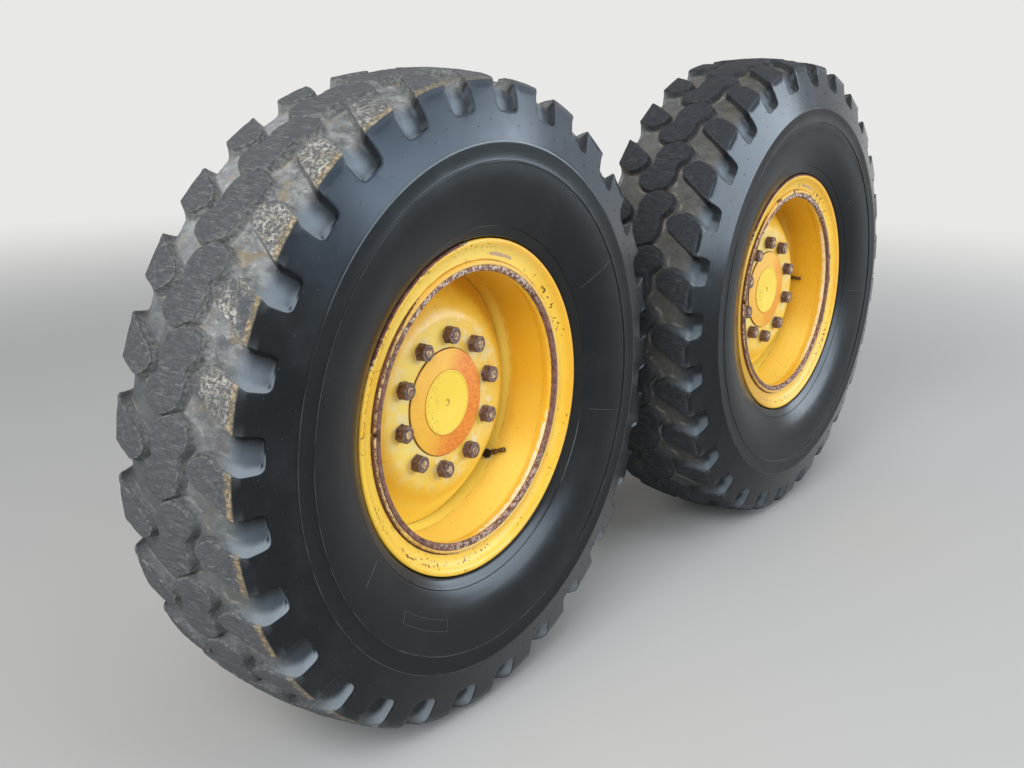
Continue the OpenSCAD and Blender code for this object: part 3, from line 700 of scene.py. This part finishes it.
def flange_finish(end, shift, wear):
    finish = Finish(f"{end}_flange_finish", shift)
    off = finish.off_axle()
    rubbed = (55, 42) if end == "front" else (75, 60)
    bare = off.near(0.3052, 0.0042) * (finish.toward(-25, 70) * 0.34 + 0.42)
    bare = bare | off.rise(0.3432, 0.3462) * finish.toward(*rubbed) * 0.72
    bare = bare | off.rise(0.345, 0.348) * 0.44
    for angle, reach, radius, much in flange_chips[end]:
        bare = bare | off.near(radius, 0.013) * finish.toward(angle, reach) * much
    bare = bare | finish.spots(0.016, 0.60, 0.72, 5, 0.7) * (0.24 * wear)
    colour = old_paint(finish, bare, 0.35)
    marks = finish.grain(0.0075, 2, 0.5)
    for angle, reach, radius in flange_strikes[end]:
        where = off.near(radius, 0.016) * finish.toward(angle, reach)
        hit = (marks + where * 0.13).rise(0.70, 0.735)
        colour = colour.coats((hit * 0.9, (70, 42, 22)))
    # Painted light: the front flange lighter toward the top; the rear one darker toward the front
    side_tone = (finish.toward(80, 62) * off.rise(0.345, 0.330) * 0.45, (255, 232, 128))
    if end == "rear":
        side_tone = (finish.toward(-25, 62) * 0.75, (196, 142, 44))
    crack = off.near(0.3060, 0.0018) * finish.spots(0.03, 0.3, 0.55, 3)
    scar = off.near(0.3180, 0.013) * finish.toward(106, 11) + finish.grain(0.007, 5, 0.75) * 1.3
    colour = colour.coats(
        (finish.spots(0.0034, 0.72, 0.76, 1) * 0.6, (110, 66, 26)),
        (finish.toward(150, 62) * off.rise(0.318, 0.344) * 0.55, (234, 160, 20)),
        side_tone,
        (crack * 0.55, (128, 76, 30)),
        (scar.rise(1.42, 1.55) * 0.85, (176, 150, 138)),
    )
    return finish.set(colour)


def sprung_finish(end, shift, wear):
    finish = Finish(f"{end}_sprung_finish", shift)
    off = finish.off_axle()
    rusted = finish.toward(-25, 72) * 0.34 | finish.toward(4, 62) * 0.58
    seams = off.near(0.2956, 0.0026) | off.near(0.3040, 0.0022)
    bare = seams * 0.42 + rusted | finish.spots(0.03, 0.5, 0.7, 4) * (0.48 * wear)
    paint = old_paint(finish, bare, 0.9, (230, 186, 96))
    soot = finish.toward(-8, 70) * finish.spots(0.012, 0.35, 0.6, 4)
    return finish.set(paint.coats((soot * 0.6, (96, 56, 26))))


flange_section = [
    (297.2, 52, 0.5), (298.3, 52, 0.5), *flange_face, (346.5, 147, 2.5), (341.3, 147, 2),
    (336.5, 144.8, 3), (328.3, 138.3, 6), (317.3, 133.9, 5), (306.0, 132.2, 1.5),
    (304.5, 131.2, 0.8), (304.5, 128.8, 0.5), (297.2, 128.8, 0.5),
]
sprung_section = [
    (290.4, 118.8, 0.5), (296.6, 118.8, 0.5), (296.6, 129.2, 0.5), (304.0, 129.2, 0.5),
    (304.0, 133.6, 1.0), (301.6, 138.0, 1.0), (300.4, 138.7, 0.8), (296.4, 138.7, 0.8),
    (295.2, 137.8, 0.6), (295.2, 129.9, 0.5), (290.4, 127.9, 0.5),
]
gap_in_ring = (3.6, 1.5)
for end, shift, wear in wheels:
    finish = flange_finish(end, shift + 3, wear)
    wheel_piece(end, "flange_ring", turned(flange_section, 216), finish, "side_ring")
    sprung, finish = turned(sprung_section, 216, gap_in_ring), sprung_finish(end, shift + 4, wear)
    wheel_piece(end, "sprung_ring", sprung, finish, "lock_ring")


# Valves. A brass stem stands in a nut on the rim's slope and turns outboard. It is black with brake
# dust at its foot, and its cap is worn bright.
stem_finish = Finish("valve_stem")
sooty = stem_finish.spots(0.004, 0.52, 0.68, 3)
brassy = stem_finish.blend(sooty, (70, 50, 36), (190, 154, 100))
stem_finish.set(
    stem_finish.blend(stem_finish.along("Y").rise(0.012, 0.018), (26, 24, 22), brassy),
    0.42,
    0.3,
    stem_finish.bump(stem_finish.grain(0.001, 2), 0.0003),
)
slope = math.atan2(24.5, 10.8)
out_r, out_w = -math.sin(slope), math.cos(slope)
nut, nut_faces = fastener(20, 8.6)
x, z, level = nut.T
nut = np.stack([285.4 + level * out_r + x * out_w, -1.25 + level * out_w - x * out_r, z], 1)
stem_section = [
    (0, 0, 0), (5.0, 0, 0.3), (5.0, 13, 0.6), (6.2, 14, 0.4), (6.2, 24, 0.6),
    (5.0, 25.6, 0.3), (4.4, 33, 0.3), (5.4, 33.6, 0.3), (5.4, 46.4, 0.6), (4.4, 47.8, 0.8),
    (2.6, 48, 0.3), (2.4, 46.5, 0.2), (0, 46.5, 0),
]
stem_run = rounded_run(stem_section, 0.3)
stem_turns = 2 * np.pi * np.arange(28) / 28
stem = [(r * math.cos(a), w, r * math.sin(a)) for r, w in stem_run for a in stem_turns]
x, w, z = np.array(stem).T
stem_faces = ring_faces(len(stem_run), len(stem_turns), closed=False)
for end, lean in (("front", math.radians(24.0)), ("rear", 0.0)):
    leant = [
        279.4 + x,
        1.35 + w * math.cos(lean) + z * math.sin(lean),
        z * math.cos(lean) - w * math.sin(lean),
    ]
    valve = mesh_of(*joined([(nut, nut_faces), (np.stack(leant, 1), stem_faces)]))
    valve.transform(Matrix.Rotation(-math.radians(valve_turns[end]), 4, "Y"))
    wheel_piece(end, "valve_stem", valve, stem_finish, "valve")


# Tyres. Each is moulded in one piece with 28 pitches of lugs: a shoulder lug each side and a waved
# block between them. The lugs are half worn and dusty, and the sidewalls are dressed black.
PITCHES = 28
COLUMNS = 12  # of the sidewalls' faces in a pitch
tread_radius = 675.0
pitch = 2 * math.pi * tread_radius / PITCHES
sidewall_start = 246.0
pitch_start = -37.2
pitch_start_inboard = 59.7
inboard_lag = 8  # columns from one of the outboard sidewall to its like inboard
still_rows = 40  # of the skin's section, each side, that lie straight across
edge_step = 5.5  # between points along the edge of a land
far_end = 400.0
# Twice the place along the tread round which the outboard half turns into the inboard one: for the
# lugs, and for the line of the groove between two pitches
lug_turn, groove_turn = 174.0, 22.5
# Outlines on the tread laid flat: along it, across it and how far the corner is rounded
shoulder_lug = [
    (pitch_start, 213, 0), (0, 213, 17), (0.5, 150, 3), (39, 95, 9), (61, 64, 6), (77, 56, 6),
    (90, 59, 6), (99, 70, 7), (112, 95, 9), (93, 134, 6), (77, 165, 6), (79, 213, 17),
    (pitch + pitch_start, 213, 0),
]
middle_block = [
    (27, 26, 5), (54, 37, 9), (77, 34, 8), (93, 34, 6), (101, 45, 9), (114, 56, 8), (137, 61, 9),
    (154, 49, 7), (166, 16, 6), (157, -7, 7), (147, -26, 5), (120, -37, 9), (97, -34, 8),
    (81, -34, 6), (73, -45, 9), (60, -56, 8), (37, -61, 9), (20, -49, 7), (8, -16, 6), (17, 7, 7),
]
groove_line = [
    (11.25, 0), (18.5, 20), (22, 36), (22, 50), (10, 64), (0, 95), (-15, 120), (-33, 150),
    (pitch_start, 165), (pitch_start, 213),
]
groove_tie = np.array([(97.0, 71.0), (118.0, 68.0), (141.0, 62.0)])
# The section of the unworn tread and shoulder, and of the groove floor, by the distance along it
skin = np.array(
    [(0, 0, 675.0), (50, 50, 673.3), (100, 100, 668.3), (143, 143, 661.4), (152, 150.5, 655.5),
     (162, 154, 646.5), (213, 168.7, 597.9), (sidewall_start, 178.2, 566.3)]
)
floor = np.array(
    [(0, 0, 653.0), (50, 49.5, 651.3), (100, 99, 646.8), (135, 130, 640.0), (152, 140.5, 629.0),
     (165, 146.0, 618.0), (190, 152.0, 600.0), (213, 157.5, 588.0), (sidewall_start, 171.0, 564.5)]
)


def at_tread(distance, depth, angle):
    """A point by its distance along the section, its share of the groove depth and its turn."""
    w, r = (
        np.interp(np.abs(distance), skin[:, 0], skin[:, k]) * (1 - depth)
        + np.interp(np.abs(distance), floor[:, 0], floor[:, k]) * depth
        for k in (1, 2)
    )
    w = w * np.sign(distance)
    return np.stack([r * np.cos(angle), w + 0 * angle, r * np.sin(angle)], -1)


def resample(points, step, closed):
    points = np.asarray(points, float)
    if closed:
        points = np.vstack([points, points[:1]])
    lengths = np.r_[0, np.cumsum(np.linalg.norm(np.diff(points, axis=0), axis=1))]
    count = max(2, int(round(lengths[-1] / step)))
    places = np.linspace(0, lengths[-1], count + 1)
    made = np.stack([np.interp(places, lengths, points[:, k]) for k in (0, 1)], 1)
    return made[:-1] if closed else made


def inside(points, outline):
    x, y = points[:, 0], points[:, 1]
    found = np.zeros(len(points), bool)
    for a, b in zip(outline, np.roll(outline, -1, 0)):
        crosses = (a[1] > y) != (b[1] > y)
        with np.errstate(divide="ignore", invalid="ignore"):
            meet = (b[0] - a[0]) * (y - a[1]) / (b[1] - a[1]) + a[0]
        found ^= crosses & (x < meet)
    return found


def nearest(points, run, closed):
    """The distance of each point from a run of points, and the run's normal there."""
    a, b = run, np.roll(run, -1, 0)
    if not closed:
        a, b = a[:-1], b[:-1]
    d = b - a
    share = ((points[:, None] - a) * d).sum(-1) / (d * d).sum(-1)
    gaps = np.linalg.norm(points[:, None] - (a + share.clip(0, 1)[..., None] * d), axis=-1)
    which = gaps.argmin(1)
    normal = np.stack([d[which, 1], -d[which, 0]], 1)
    return gaps.min(1), normal / np.linalg.norm(normal, axis=1)[:, None]


def turned_half(points):
    """Points of the outboard lugs, turned half round to lie on the inboard ones."""
    return np.stack([lug_turn - points[:, 0], -points[:, 1]], 1)


lug = resample(rounded_run(shoulder_lug, 6, closed=False), edge_step, False)
bank = np.vstack([lug, [(pitch + pitch_start, far_end), (pitch_start, far_end)]])
block = resample(rounded_run(middle_block, 6), edge_step, True)
# Each kind of land: the run of its edge, the outline it fills and whether the edge closes
lands = [(lug, bank, False), (block, block, True), (turned_half(lug), turned_half(bank), False)]
shifts = [np.array([k * pitch, 0.0]) for k in (-1, 0, 1)]


def groove_depth(points):
    """The share of the groove depth at each point, and how far inside a land's edge it is."""
    depth = np.ones(len(points))
    edge_gap = np.full(len(points), 99.0)
    for shift in shifts:
        for flip, (run, outline, closed) in zip((1, 0, -1), lands):
            gap, normal = nearest(points, run + shift, closed)
            within = inside(points, outline + shift)
            if closed:
                width, foot = 11.0, 0.10
                top = foot * (1 - gap / 4.5).clip(0, 1) ** 2
            else:
                out, reach = normal * flip, points[:, 1] * flip
                broad = (out[:, 0] > 0.2) & (reach > 80)
                under = (out[:, 0] < -0.2) & (reach > 140)
                end_wall = (out[:, 1] < -0.7) & (reach > 200)
                width = np.where(broad, 10.0 + 15.0 * ((reach - 85) / 60).clip(0, 1), 8.5)
                width = np.where(under, 8.5 + 9.5 * ((reach - 140) / 25).clip(0, 1), width)
                width = np.where(end_wall, 9.0, width)
                foot = 0.05
                top = foot * (1 - gap / 2.0).clip(0, 1)
            wall = 1 - (1 - (gap / width).clip(0, 1)) ** 1.9
            depth = np.minimum(depth, np.where(within, top, foot + (1 - foot) * wall))
            edge_gap = np.where(within, np.minimum(edge_gap, gap), edge_gap)
        for tie in (groove_tie, turned_half(groove_tie)):
            gap, _ = nearest(points, tie + shift, False)
            depth = np.minimum(depth, 0.62 + 0.38 * (gap / 16.0).clip(0, 1) ** 0.8)
    return depth, edge_gap


def tread_pitch():
    """One pitch of the tread laid flat: its points, triangles, depths and gaps to the edges."""
    straight_end = [(pitch_start, t) for t in (224, 235, sidewall_start)]
    upper = np.vstack([resample(groove_line, 6.0, False), straight_end])
    lower = np.stack([groove_turn - upper[:, 0], -upper[:, 1]], 1)[::-1]
    left = np.vstack([lower[:-1], upper])
    steps = [pitch * j / COLUMNS for j in range(1, COLUMNS)]
    top = [(pitch_start + step, sidewall_start) for step in steps]
    base = [(pitch_start_inboard + step, -sidewall_start) for step in steps]
    cell = np.vstack([left + (pitch, 0.0), top[::-1], left[::-1], base])

    taken, rings = [cell], []
    edges = [(i, (i + 1) % len(cell)) for i in range(len(cell))]
    count = len(cell)
    for run, outline, closed in lands:
        ahead_of = np.roll(run, -1, 0) - np.roll(run, 1, 0) if closed else np.gradient(run, axis=0)
        out = np.stack([ahead_of[:, 1], -ahead_of[:, 0]], 1)
        out /= np.linalg.norm(out, axis=1)[:, None]
        probe = slice(0, 1) if closed else slice(8, 9)
        if inside(run[probe] + out[probe], outline)[0]:
            out = -out
        body = slice(None) if closed else slice(1, -1)
        size = len(run[body])
        taken.append(run[body])
        edges += [(count + i, count + i + 1) for i in range(size - 1)]
        if closed:
            edges.append((count + size - 1, count))
        else:
            first, last = (int(np.abs(cell - run[k]).sum(1).argmin()) for k in (0, -1))
            edges += [(first, count), (count + size - 1, last)]
        count += size
        for offset in (-5.0, -2.0, 2.2, 7.0, 12.0, 18.0, 24.0):
            rings.append((run[body] + out[body] * offset, abs(offset)))
    extra = []
    for ring, away in rings:
        gaps = [nearest(ring, run + s, closed)[0] for run, _, closed in lands for s in shifts]
        kept = ring[(np.min(gaps, axis=0) > away - 0.35) & inside(ring, cell)]
        if away > 11:
            kept = kept[np.abs(kept[:, 1]) > 88]
        room = 2.08 if away < 3 else 3.2
        for point in kept:
            if np.linalg.norm(cell - point, axis=1).min() < 2.0:
                continue
            if not extra or np.linalg.norm(np.array(extra) - point, axis=1).min() > room:
                extra.append(point)
    taken = np.vstack([*taken, extra])
    grids = []
    for step, deep in ((8.0, True), (13.0, False)):
        rows = enumerate(np.arange(-sidewall_start, sidewall_start, step))
        xs = np.arange(-80, 260, step)
        grid = np.array([(x + step / 2 * (j % 2), t) for j, t in rows for x in xs])
        grid = grid[inside(grid, cell)]
        grid = grid[(groove_depth(grid)[0] > 0.04) == deep]
        room = np.linalg.norm(grid[:, None] - taken, axis=-1).min(1)
        grids.append(grid[room > step * 0.55])
    points = [Vector(p) for p in np.vstack([taken, *grids])]
    made = geometry.delaunay_2d_cdt(points, edges, [list(range(len(cell)))], 1, 1e-4)
    flat = np.array([tuple(p) for p in made[0]])
    return flat, [tuple(f) for f in made[2]], *groove_depth(flat)


flat_pitch, pitch_faces, pitch_depth, pitch_gap = tread_pitch()

outer_wall = [
    (181.6, 555), (185.4, 542.5), (186.0, 540.5), (185.8, 537), (184.6, 525), (184.2, 510),
    (184.4, 505.2), (185.9, 503.6), (185.9, 502.2), (183.6, 500.6), (183.3, 488), (182.3, 474),
    (180.3, 458), (177.0, 440), (173.0, 424), (168.5, 409), (166.4, 403), (163.9, 396),
    (162.1, 391), (160.2, 386), (158.2, 381), (156.6, 377), (156.0, 375.6), (154.5, 374.8),
    (155.0, 373.8), (154.3, 372.4), (152.0, 367), (149.6, 361.5), (147.6, 357.5), (145.4, 353.6),
    (142.0, 351.6), (138.0, 351.0), (132.0, 348.0), (127.6, 341.0), (126.2, 334), (126.2, 320),
    (125.6, 308), (122.0, 305.6), (98.0, 303.4), (64.0, 300.4), (60.0, 301.6), (62.0, 306.0),
    (96.0, 322.0), (124.0, 345.0), (135.0, 368.0), (150.0, 420.0), (156.0, 480.0),
    (156.0, 531.0), (140.0, 575.0), (100.0, 605.0), (50.0, 617.0),
]
section_rows = outer_wall + [(0.0, 620.0)] + [(-w, r) for w, r in reversed(outer_wall)]
outside = [(r, w) for w, r in outer_wall[:30]] + [(r, w) for _, w, r in skin[2:]]
outside_r, outside_w = zip(*sorted(outside))


def on_wall(angle, radius, rise):
    """A point on the outboard sidewall, raised off it."""
    w = np.interp(radius, outside_r, outside_w)
    return radius * math.cos(angle), w + rise, radius * math.sin(angle)


def mould_marks(first_lug):
    """Fine ribs of the mould on the outboard sidewall, and nubs that its vents left."""
    parts = []
    steps = 24
    for start, end, low, high in (
        (139.9, 139.9, 395, 499), (-176.8, -176.8, 395, 499), (-42.6, -42.6, 395, 452),
        (91.4, 91.4, 490, 500), (-80.6, -80.6, 430, 453), (-61.6, -61.6, 430, 453),
        (-80.6, -61.6, 430, 430), (-80.6, -61.6, 453, 453),
    ):
        turns = np.radians(np.linspace(first_lug + start, first_lug + end, steps))
        points = []
        for turn, radius in zip(turns, np.linspace(low, high, steps)):
            for side, rise in ((-0.8, -0.3), (0.0, 0.7), (0.8, -0.3)):
                if low == high:
                    points.append(on_wall(turn, radius + side, rise))
                else:
                    points.append(on_wall(turn + side / radius, radius, rise))
        ends = [(0, 1, 2), (3 * steps - 3, 3 * steps - 2, 3 * steps - 1)]
        parts.append((np.array(points), ring_faces(steps, 3, closed=False) + ends))
    faces = ring_faces(3, 6, closed=False) + [tuple(range(12, 18))]
    for i in range(PITCHES):
        for along_pitch, radius in ((-24.0, 596.0), (-6.0, 572.0), (44.0, 583.0), (70.0, 612.0)):
            turn = math.radians(first_lug) + i * 2 * math.pi / PITCHES + along_pitch / tread_radius
            points = []
            for reach, rise in ((0.8, -0.4), (0.7, 1.6), (0.3, 2.6)):
                for a in np.arange(6) * math.pi / 3:
                    x, w, z = on_wall(turn + reach * math.cos(a) / radius, radius, rise)
                    points.append((x, w, z + reach * math.sin(a)))
            parts.append((np.array(points), faces))
    return joined(parts)


def tyre_mesh(first_lug, shoulder_wear, notch_fade):
    """A whole tyre: the tread's pitches side by side, and the sidewalls and inside as one skin."""
    start = math.radians(first_lug)
    flat_x, across = flat_pitch.T
    reach = np.abs(across)
    depth = pitch_depth * (1 - notch_fade * ((reach - 160) / 53).clip(0, 1))
    worn = np.exp(-pitch_gap / 6.0) * (reach < 170)
    turned_x = np.where(across > 0, flat_x, lug_turn - flat_x)
    # lee runs from a pocket's lower side, 0, to its upper wall, 1: the rubber paints shade by it
    low_side = np.interp(reach, (95, 134, 165), (112, 93, 77))
    high_side = 152.0 + np.interp(reach, (95, 150), (38.5, 0))
    lee = ((turned_x - low_side) % pitch / (high_side - low_side)).clip(0, 1)
    parts, marks = [], []
    for i in range(PITCHES):
        angle = start + 2 * math.pi * i / PITCHES + flat_x / tread_radius
        parts.append((at_tread(across, depth, angle), pitch_faces))
        marks.append(np.stack([depth, across, worn, lee], 1))

    columns = np.arange(PITCHES * COLUMNS)
    lead = (pitch_start + pitch * columns / COLUMNS) / tread_radius
    tail = (pitch_start_inboard + pitch * (columns - inboard_lag) / COLUMNS) / tread_radius
    rows = [at_tread(sidewall_start, 0.0, start + lead)]
    distances = [sidewall_start]
    for k, (w, r) in enumerate(section_rows):
        share = min(1.0, max(0.0, (k - still_rows) / (len(section_rows) - 2 * still_rows)))
        angle = start + lead * (1 - share) + tail * share
        rows.append(np.stack([r * np.cos(angle), w + 0 * angle, r * np.sin(angle)], -1))
        distances.append(-sidewall_start - 10 if w < 0 else sidewall_start + 10)
    rows.append(at_tread(-sidewall_start, 0.0, start + tail))
    distances.append(-sidewall_start)
    parts.append((np.concatenate(rows), ring_faces(len(rows), len(columns), closed=False)))
    along = np.repeat(distances, len(columns))
    marks.append(np.stack([0 * along, along, 0 * along, 0 * along], 1))
    parts.append(mould_marks(first_lug))
    # The mould marks take 1 in worn, for the painted highlight that the rubber lays on them
    marks.append(np.tile((0, sidewall_start + 10, 1, 0), (len(parts[-1][0]), 1)))

    points, faces = joined(parts)
    groove, along, worn, lee = np.concatenate(marks).T
    out = points * (1, 0.3, 1)
    out /= np.linalg.norm(out, axis=1)[:, None]
    for i in np.nonzero(np.abs(along) < sidewall_start - 1)[0]:
        place = Vector(points[i]) * 0.011
        soft = noise.noise(place) * 1.1 + noise.noise(place * 5.2) * 0.5
        soft *= 0.12 if abs(along[i]) > 151 else 1.0
        chip = noise.noise(place * 9.0 + Vector((7, 3, 1))) * 2.2 * worn[i] * shoulder_wear
        points[i] += out[i] * (soft + min(chip, 0.3))
    marks = {"groove": groove, "along": along * 0.001, "worn": worn, "lee": lee}
    return mesh_of(points, faces, 34, marks, 3e-5)


def tyre_rubber(end, shift, dust):
    """Tyre rubber: grey scoured lugs, dusty grooves with painted light and shade, black below."""
    finish = Finish(f"{end}_tyre_rubber", shift)
    front = end == "front"
    groove, along, worn, lee = (
        finish.node("ShaderNodeAttribute", "Fac", attribute_name=label)
        for label in ("groove", "along", "worn", "lee")
    )
    reach = along.size()
    on_top = groove.rise(0.30, 0.02) * reach.rise(0.154, 0.149)
    deep = groove.rise(0.55, 0.95)
    centre = reach.rise(0.158, 0.110)
    off = finish.off_axle()

    # The lugs' tops
    slate = ((76, 79, 82), (93, 95, 97)) if front else ((42, 44, 48), (58, 60, 65))
    scour = finish.grain(0.0050, 4, 0.65, (1, 0.22, 1))
    scuffs = finish.spots(0.010, 0.54, 0.70, 5, 0.7, (1, 0.3, 1))
    scratches = finish.spots(0.0024, 0.62, 0.68, 2, 0.5, (1, 0.07, 1))
    crumbs = finish.spots(0.0070, 0.46, 0.56, 8, 0.80)
    top = finish.blend(scour.rise(0.32, 0.72), *slate).coats(
        (scuffs * (0.34 * dust), (150, 150, 145)),
        (scratches * (0.3 * dust), (160, 159, 153)),
    )
    if front:
        stony = crumbs * finish.spots(0.10, 0.34, 0.50, 2) * along.rise(0.056, 0.080)
        pale = finish.blend(finish.spots(0.02, 0.4, 0.6, 3), (206, 202, 190), (166, 158, 140))
        strip = along.rise(0.114, 0.146, "LINEAR") + finish.grain(0.0055, 6, 0.75) * 1.3
        tan = finish.blend(crumbs, (112, 102, 82), (180, 157, 118))
        top = top.coats(
            (stony * finish.toward(40, 36) * 0.74, pale),
            (strip.rise(1.42, 1.60) * finish.toward(20, 88) * 0.72, tan),
        )
    top = top.coats((worn.rise(0.55, 0.98) * (0.45 * dust), (152, 152, 146)))

    # The grooves' floors, and the pockets where they run out through the shoulder
    silt = finish.spots(0.020, 0.32, 0.68, 5, 0.65, (1, 0.6, 1))
    streaks = finish.spots(0.006, 0.52, 0.72, 4, 0.7, (0.5, 0.25, 0.5))
    low = finish.blend(silt, (88, 91, 93), (138, 140, 138)).coats(
        (streaks * (0.6 * dust), (186, 187, 182)),
        (finish.spots(0.040, 0.54, 0.66, 3) * 0.6, (132, 114, 84)),
        # Painted light on the inboard half toward the top, painted shade on it toward the front
        (along.rise(0.0, -0.070) * finish.toward(80, 66) * 0.25, (186, 189, 191)),
        (along.rise(0.03, -0.03) * finish.toward(-12, 52) * 0.6, (72, 77, 79)),
        # Painted shade toward the lower front
        (finish.toward(-55, 88) * 0.75, (84, 87, 88)),
    )
    if not front:
        low = low.coats((0.65, (64, 63, 58)), (crumbs * 0.35, (106, 101, 86)))
    foot = groove.near(0.90, 0.10) * finish.spots(0.030, 0.44, 0.62, 3)
    low = low.coats((foot * 0.45, (158, 154, 140)))
    # lip is a painted highlight on the pockets' lower walls, lit a painted-lit grey for lug sides
    pocket, lip, lit = (76, 84, 91), (118, 126, 132), ((78, 81, 82), (130, 132, 129))
    if not front:
        pocket, lip, lit = (44, 49, 53), (84, 92, 98), slate
    # Pocket floors: painted shade by lee and toward the bottom, painted sky reflection toward top
    shade = (lee + finish.grain(0.03, 3) * 0.25).rise(0.50, 0.98)
    pocket = finish.blend(finish.toward(66, 66) * 0.68, pocket, (118, 128, 138)).coats(
        (shade * 0.85, (30, 32, 34)),
        (finish.toward(-120, 112) * 0.95, (22, 23, 25)),
    )

    # The lugs' sides
    drawn = finish.spots(0.007, 0.36, 0.66, 4, 0.7, (1, 0.35, 1))
    wall = finish.blend(drawn, *lit).coats(
        (finish.spots(0.012, 0.52, 0.66, 4, 0.7) * 0.2, (118, 110, 92)),
        # Painted shade toward the lower front
        (finish.toward(-55, 88) * 0.6, (66, 68, 70)),
    )
    # Painted shade on each pocket's upper wall, by lee, and the painted highlight of lip below it
    wall = finish.blend(lee.rise(0.35, 0.60), lip, (22, 24, 26)).coats((centre, wall))
    tread = wall.coats((deep, pocket.coats((centre, low))), (on_top, top))

    # The sidewall
    below = reach.rise(0.149, 0.156) * groove.rise(0.12, 0.03)
    haze = finish.spots(0.08, 0.4, 0.75, 3)
    # A painted reflection of the sky, bluish grey, on the shoulder toward the top of the tyre
    painted_sky_reflection = finish.toward(94, 66) * (0.8 if front else 0.4)
    shoulder = finish.blend(haze, (18, 20, 22), (28, 31, 34)).coats((painted_sky_reflection, (52, 62, 74)))
    black = (14, 15, 16)
    if front:
        black = finish.blend(finish.spots(0.12, 0.45, 0.8, 4), (18, 19, 20), (28, 28, 28))
    band = finish.blend(off.rise(0.498, 0.503), black, (11, 12, 13))
    specks = finish.spots(0.0026, 0.70, 0.76, 2) * finish.spots(0.06, 0.45, 0.6, 2)
    # A painted highlight, light grey, along the sidewall's fine ribs and on the mould marks
    rib_highlight = off.near(0.5029, 0.0014) | off.near(0.5408, 0.0014)
    rib_highlight = rib_highlight * finish.spots(0.05, 0.3, 0.6, 3) | worn
    by_rim = off.near(0.362, 0.022) * (finish.toward(15, 80) * (0.45 * dust) + 0.05)
    sidewall = finish.blend(off.rise(0.550, 0.536), shoulder, band).coats(
        (specks * 0.5, (118, 116, 110)),
        (rib_highlight * 0.55, (92, 96, 98)),
        (by_rim, (84, 68, 44)),
    )

    kept = 1 - below
    dull = on_top * 0.22 + 0.50 + centre * deep * 0.25 + (1 - centre) * (1 - on_top) * -0.24
    rough = below * (haze * 0.07 + 0.17) + kept * dull
    fine = finish.grain(0.0016, 3, 0.6) * (kept * 0.9 + 0.1)
    height = fine + (scour + crumbs) * (on_top * 0.6)
    finish.join(finish.shader.inputs["Specular IOR Level"], 0.30 if front else 0.27)
    finish.join(finish.shader.inputs["Specular Tint"], (0.80, 0.91, 1.0, 1))
    return finish.set(tread.coats((below, sidewall)), rough, normal=finish.bump(height, 0.0007))


for end, first_lug, dust, shift, wear, notch_fade in (
    ("front", 9.6, 1.0, 31.0, 1.0, 0.0),
    ("rear", 4.5, 0.3, 43.0, 0.6, 0.8),
):
    tyre, rubber = tyre_mesh(first_lug, wear, notch_fade), tyre_rubber(end, shift, dust)
    wheel_piece(end, "moulded_tyre", tyre, rubber, "tyre")


# Floor and lamps. The unit stands on its tyres on a plain pale floor, under one wide soft lamp
# overhead and two upright ones, behind and in front, with even light all round.
ground = -0.705
pale = (232, 232, 230)
floor_mesh = bpy.data.meshes.new("pale_floor")
corners = [(x, y, ground) for x, y in ((-30, -30), (30, -30), (30, 30), (-30, 30))]
floor_mesh.from_pydata(corners, [], [(0, 1, 2, 3)])
pale_floor = bpy.data.objects.new("pale_floor", floor_mesh)
bpy.context.scene.collection.objects.link(pale_floor)
floor_finish = Finish("pale_floor")
floor_finish.set((190, 190, 188), 0.9)
reach = floor_finish.vector("LENGTH", "Value", floor_finish.place)
share = reach.rise(2.6, 7.5) * floor_finish.ray("Camera")
share = share | reach.rise(7.0, 16.0) * floor_finish.ray("Glossy")
near_by = Value(floor_finish, floor_finish.shader.outputs[0])
plain = floor_finish.node("ShaderNodeEmission", 0, {"Color": pale, "Strength": 1.0})
faded = floor_finish.node("ShaderNodeMixShader", 0, {0: share, 1: near_by, 2: plain})
floor_finish.join(floor_finish.tree.nodes["Material Output"].inputs["Surface"], faded)
floor_mesh.materials.append(floor_finish.material)

world = bpy.data.worlds.new("studio")
bpy.context.scene.world = world
world.use_nodes = True
studio = Nodes(world.node_tree)
studio.tree.nodes.clear()
seen = studio.ray("Camera") | studio.ray("Glossy") | studio.ray("Transmission")
light = {"Color": (0.94, 0.97, 1.0, 1), "Strength": 0.38}
light, backdrop = (
    studio.node("ShaderNodeBackground", 0, inputs)
    for inputs in (light, {"Color": pale, "Strength": 1.0})
)
chosen = studio.node("ShaderNodeMixShader", 0, {0: seen, 1: light, 2: backdrop})
studio.join(studio.tree.nodes.new("ShaderNodeOutputWorld").inputs["Surface"], chosen)

for name, place, aim, size, power, tint in (
    ("overhead_lamp", (-0.4, 2.0, 4.2), (0.0, 0.5, 0.0), (5.0, 5.0), 60, (0.98, 0.98, 1.0)),
    ("side_lamp", (-5.5, 7.0, 1.5), (0.3, 0.6, 0.3), (6.5, 3.4), 540, (0.80, 0.90, 1.0)),
    ("front_lamp", (6.0, 2.2, 3.4), (0.2, 0.5, 0.0), (4.0, 4.0), 430, (0.98, 0.98, 1.0)),
):
    lamp = bpy.data.objects.new(name, bpy.data.lights.new(name, "AREA"))
    lamp.data.shape, lamp.data.energy, lamp.data.color = "RECTANGLE", power, tint
    lamp.data.size, lamp.data.size_y = size
    lamp.visible_camera = False
    lamp.location = place
    lamp.rotation_mode = "QUATERNION"
    lamp.rotation_quaternion = (Vector(aim) - Vector(place)).to_track_quat("-Z", "Y")
    bpy.context.scene.collection.objects.link(lamp)

view = bpy.context.scene.view_settings
view.view_transform = "Standard"
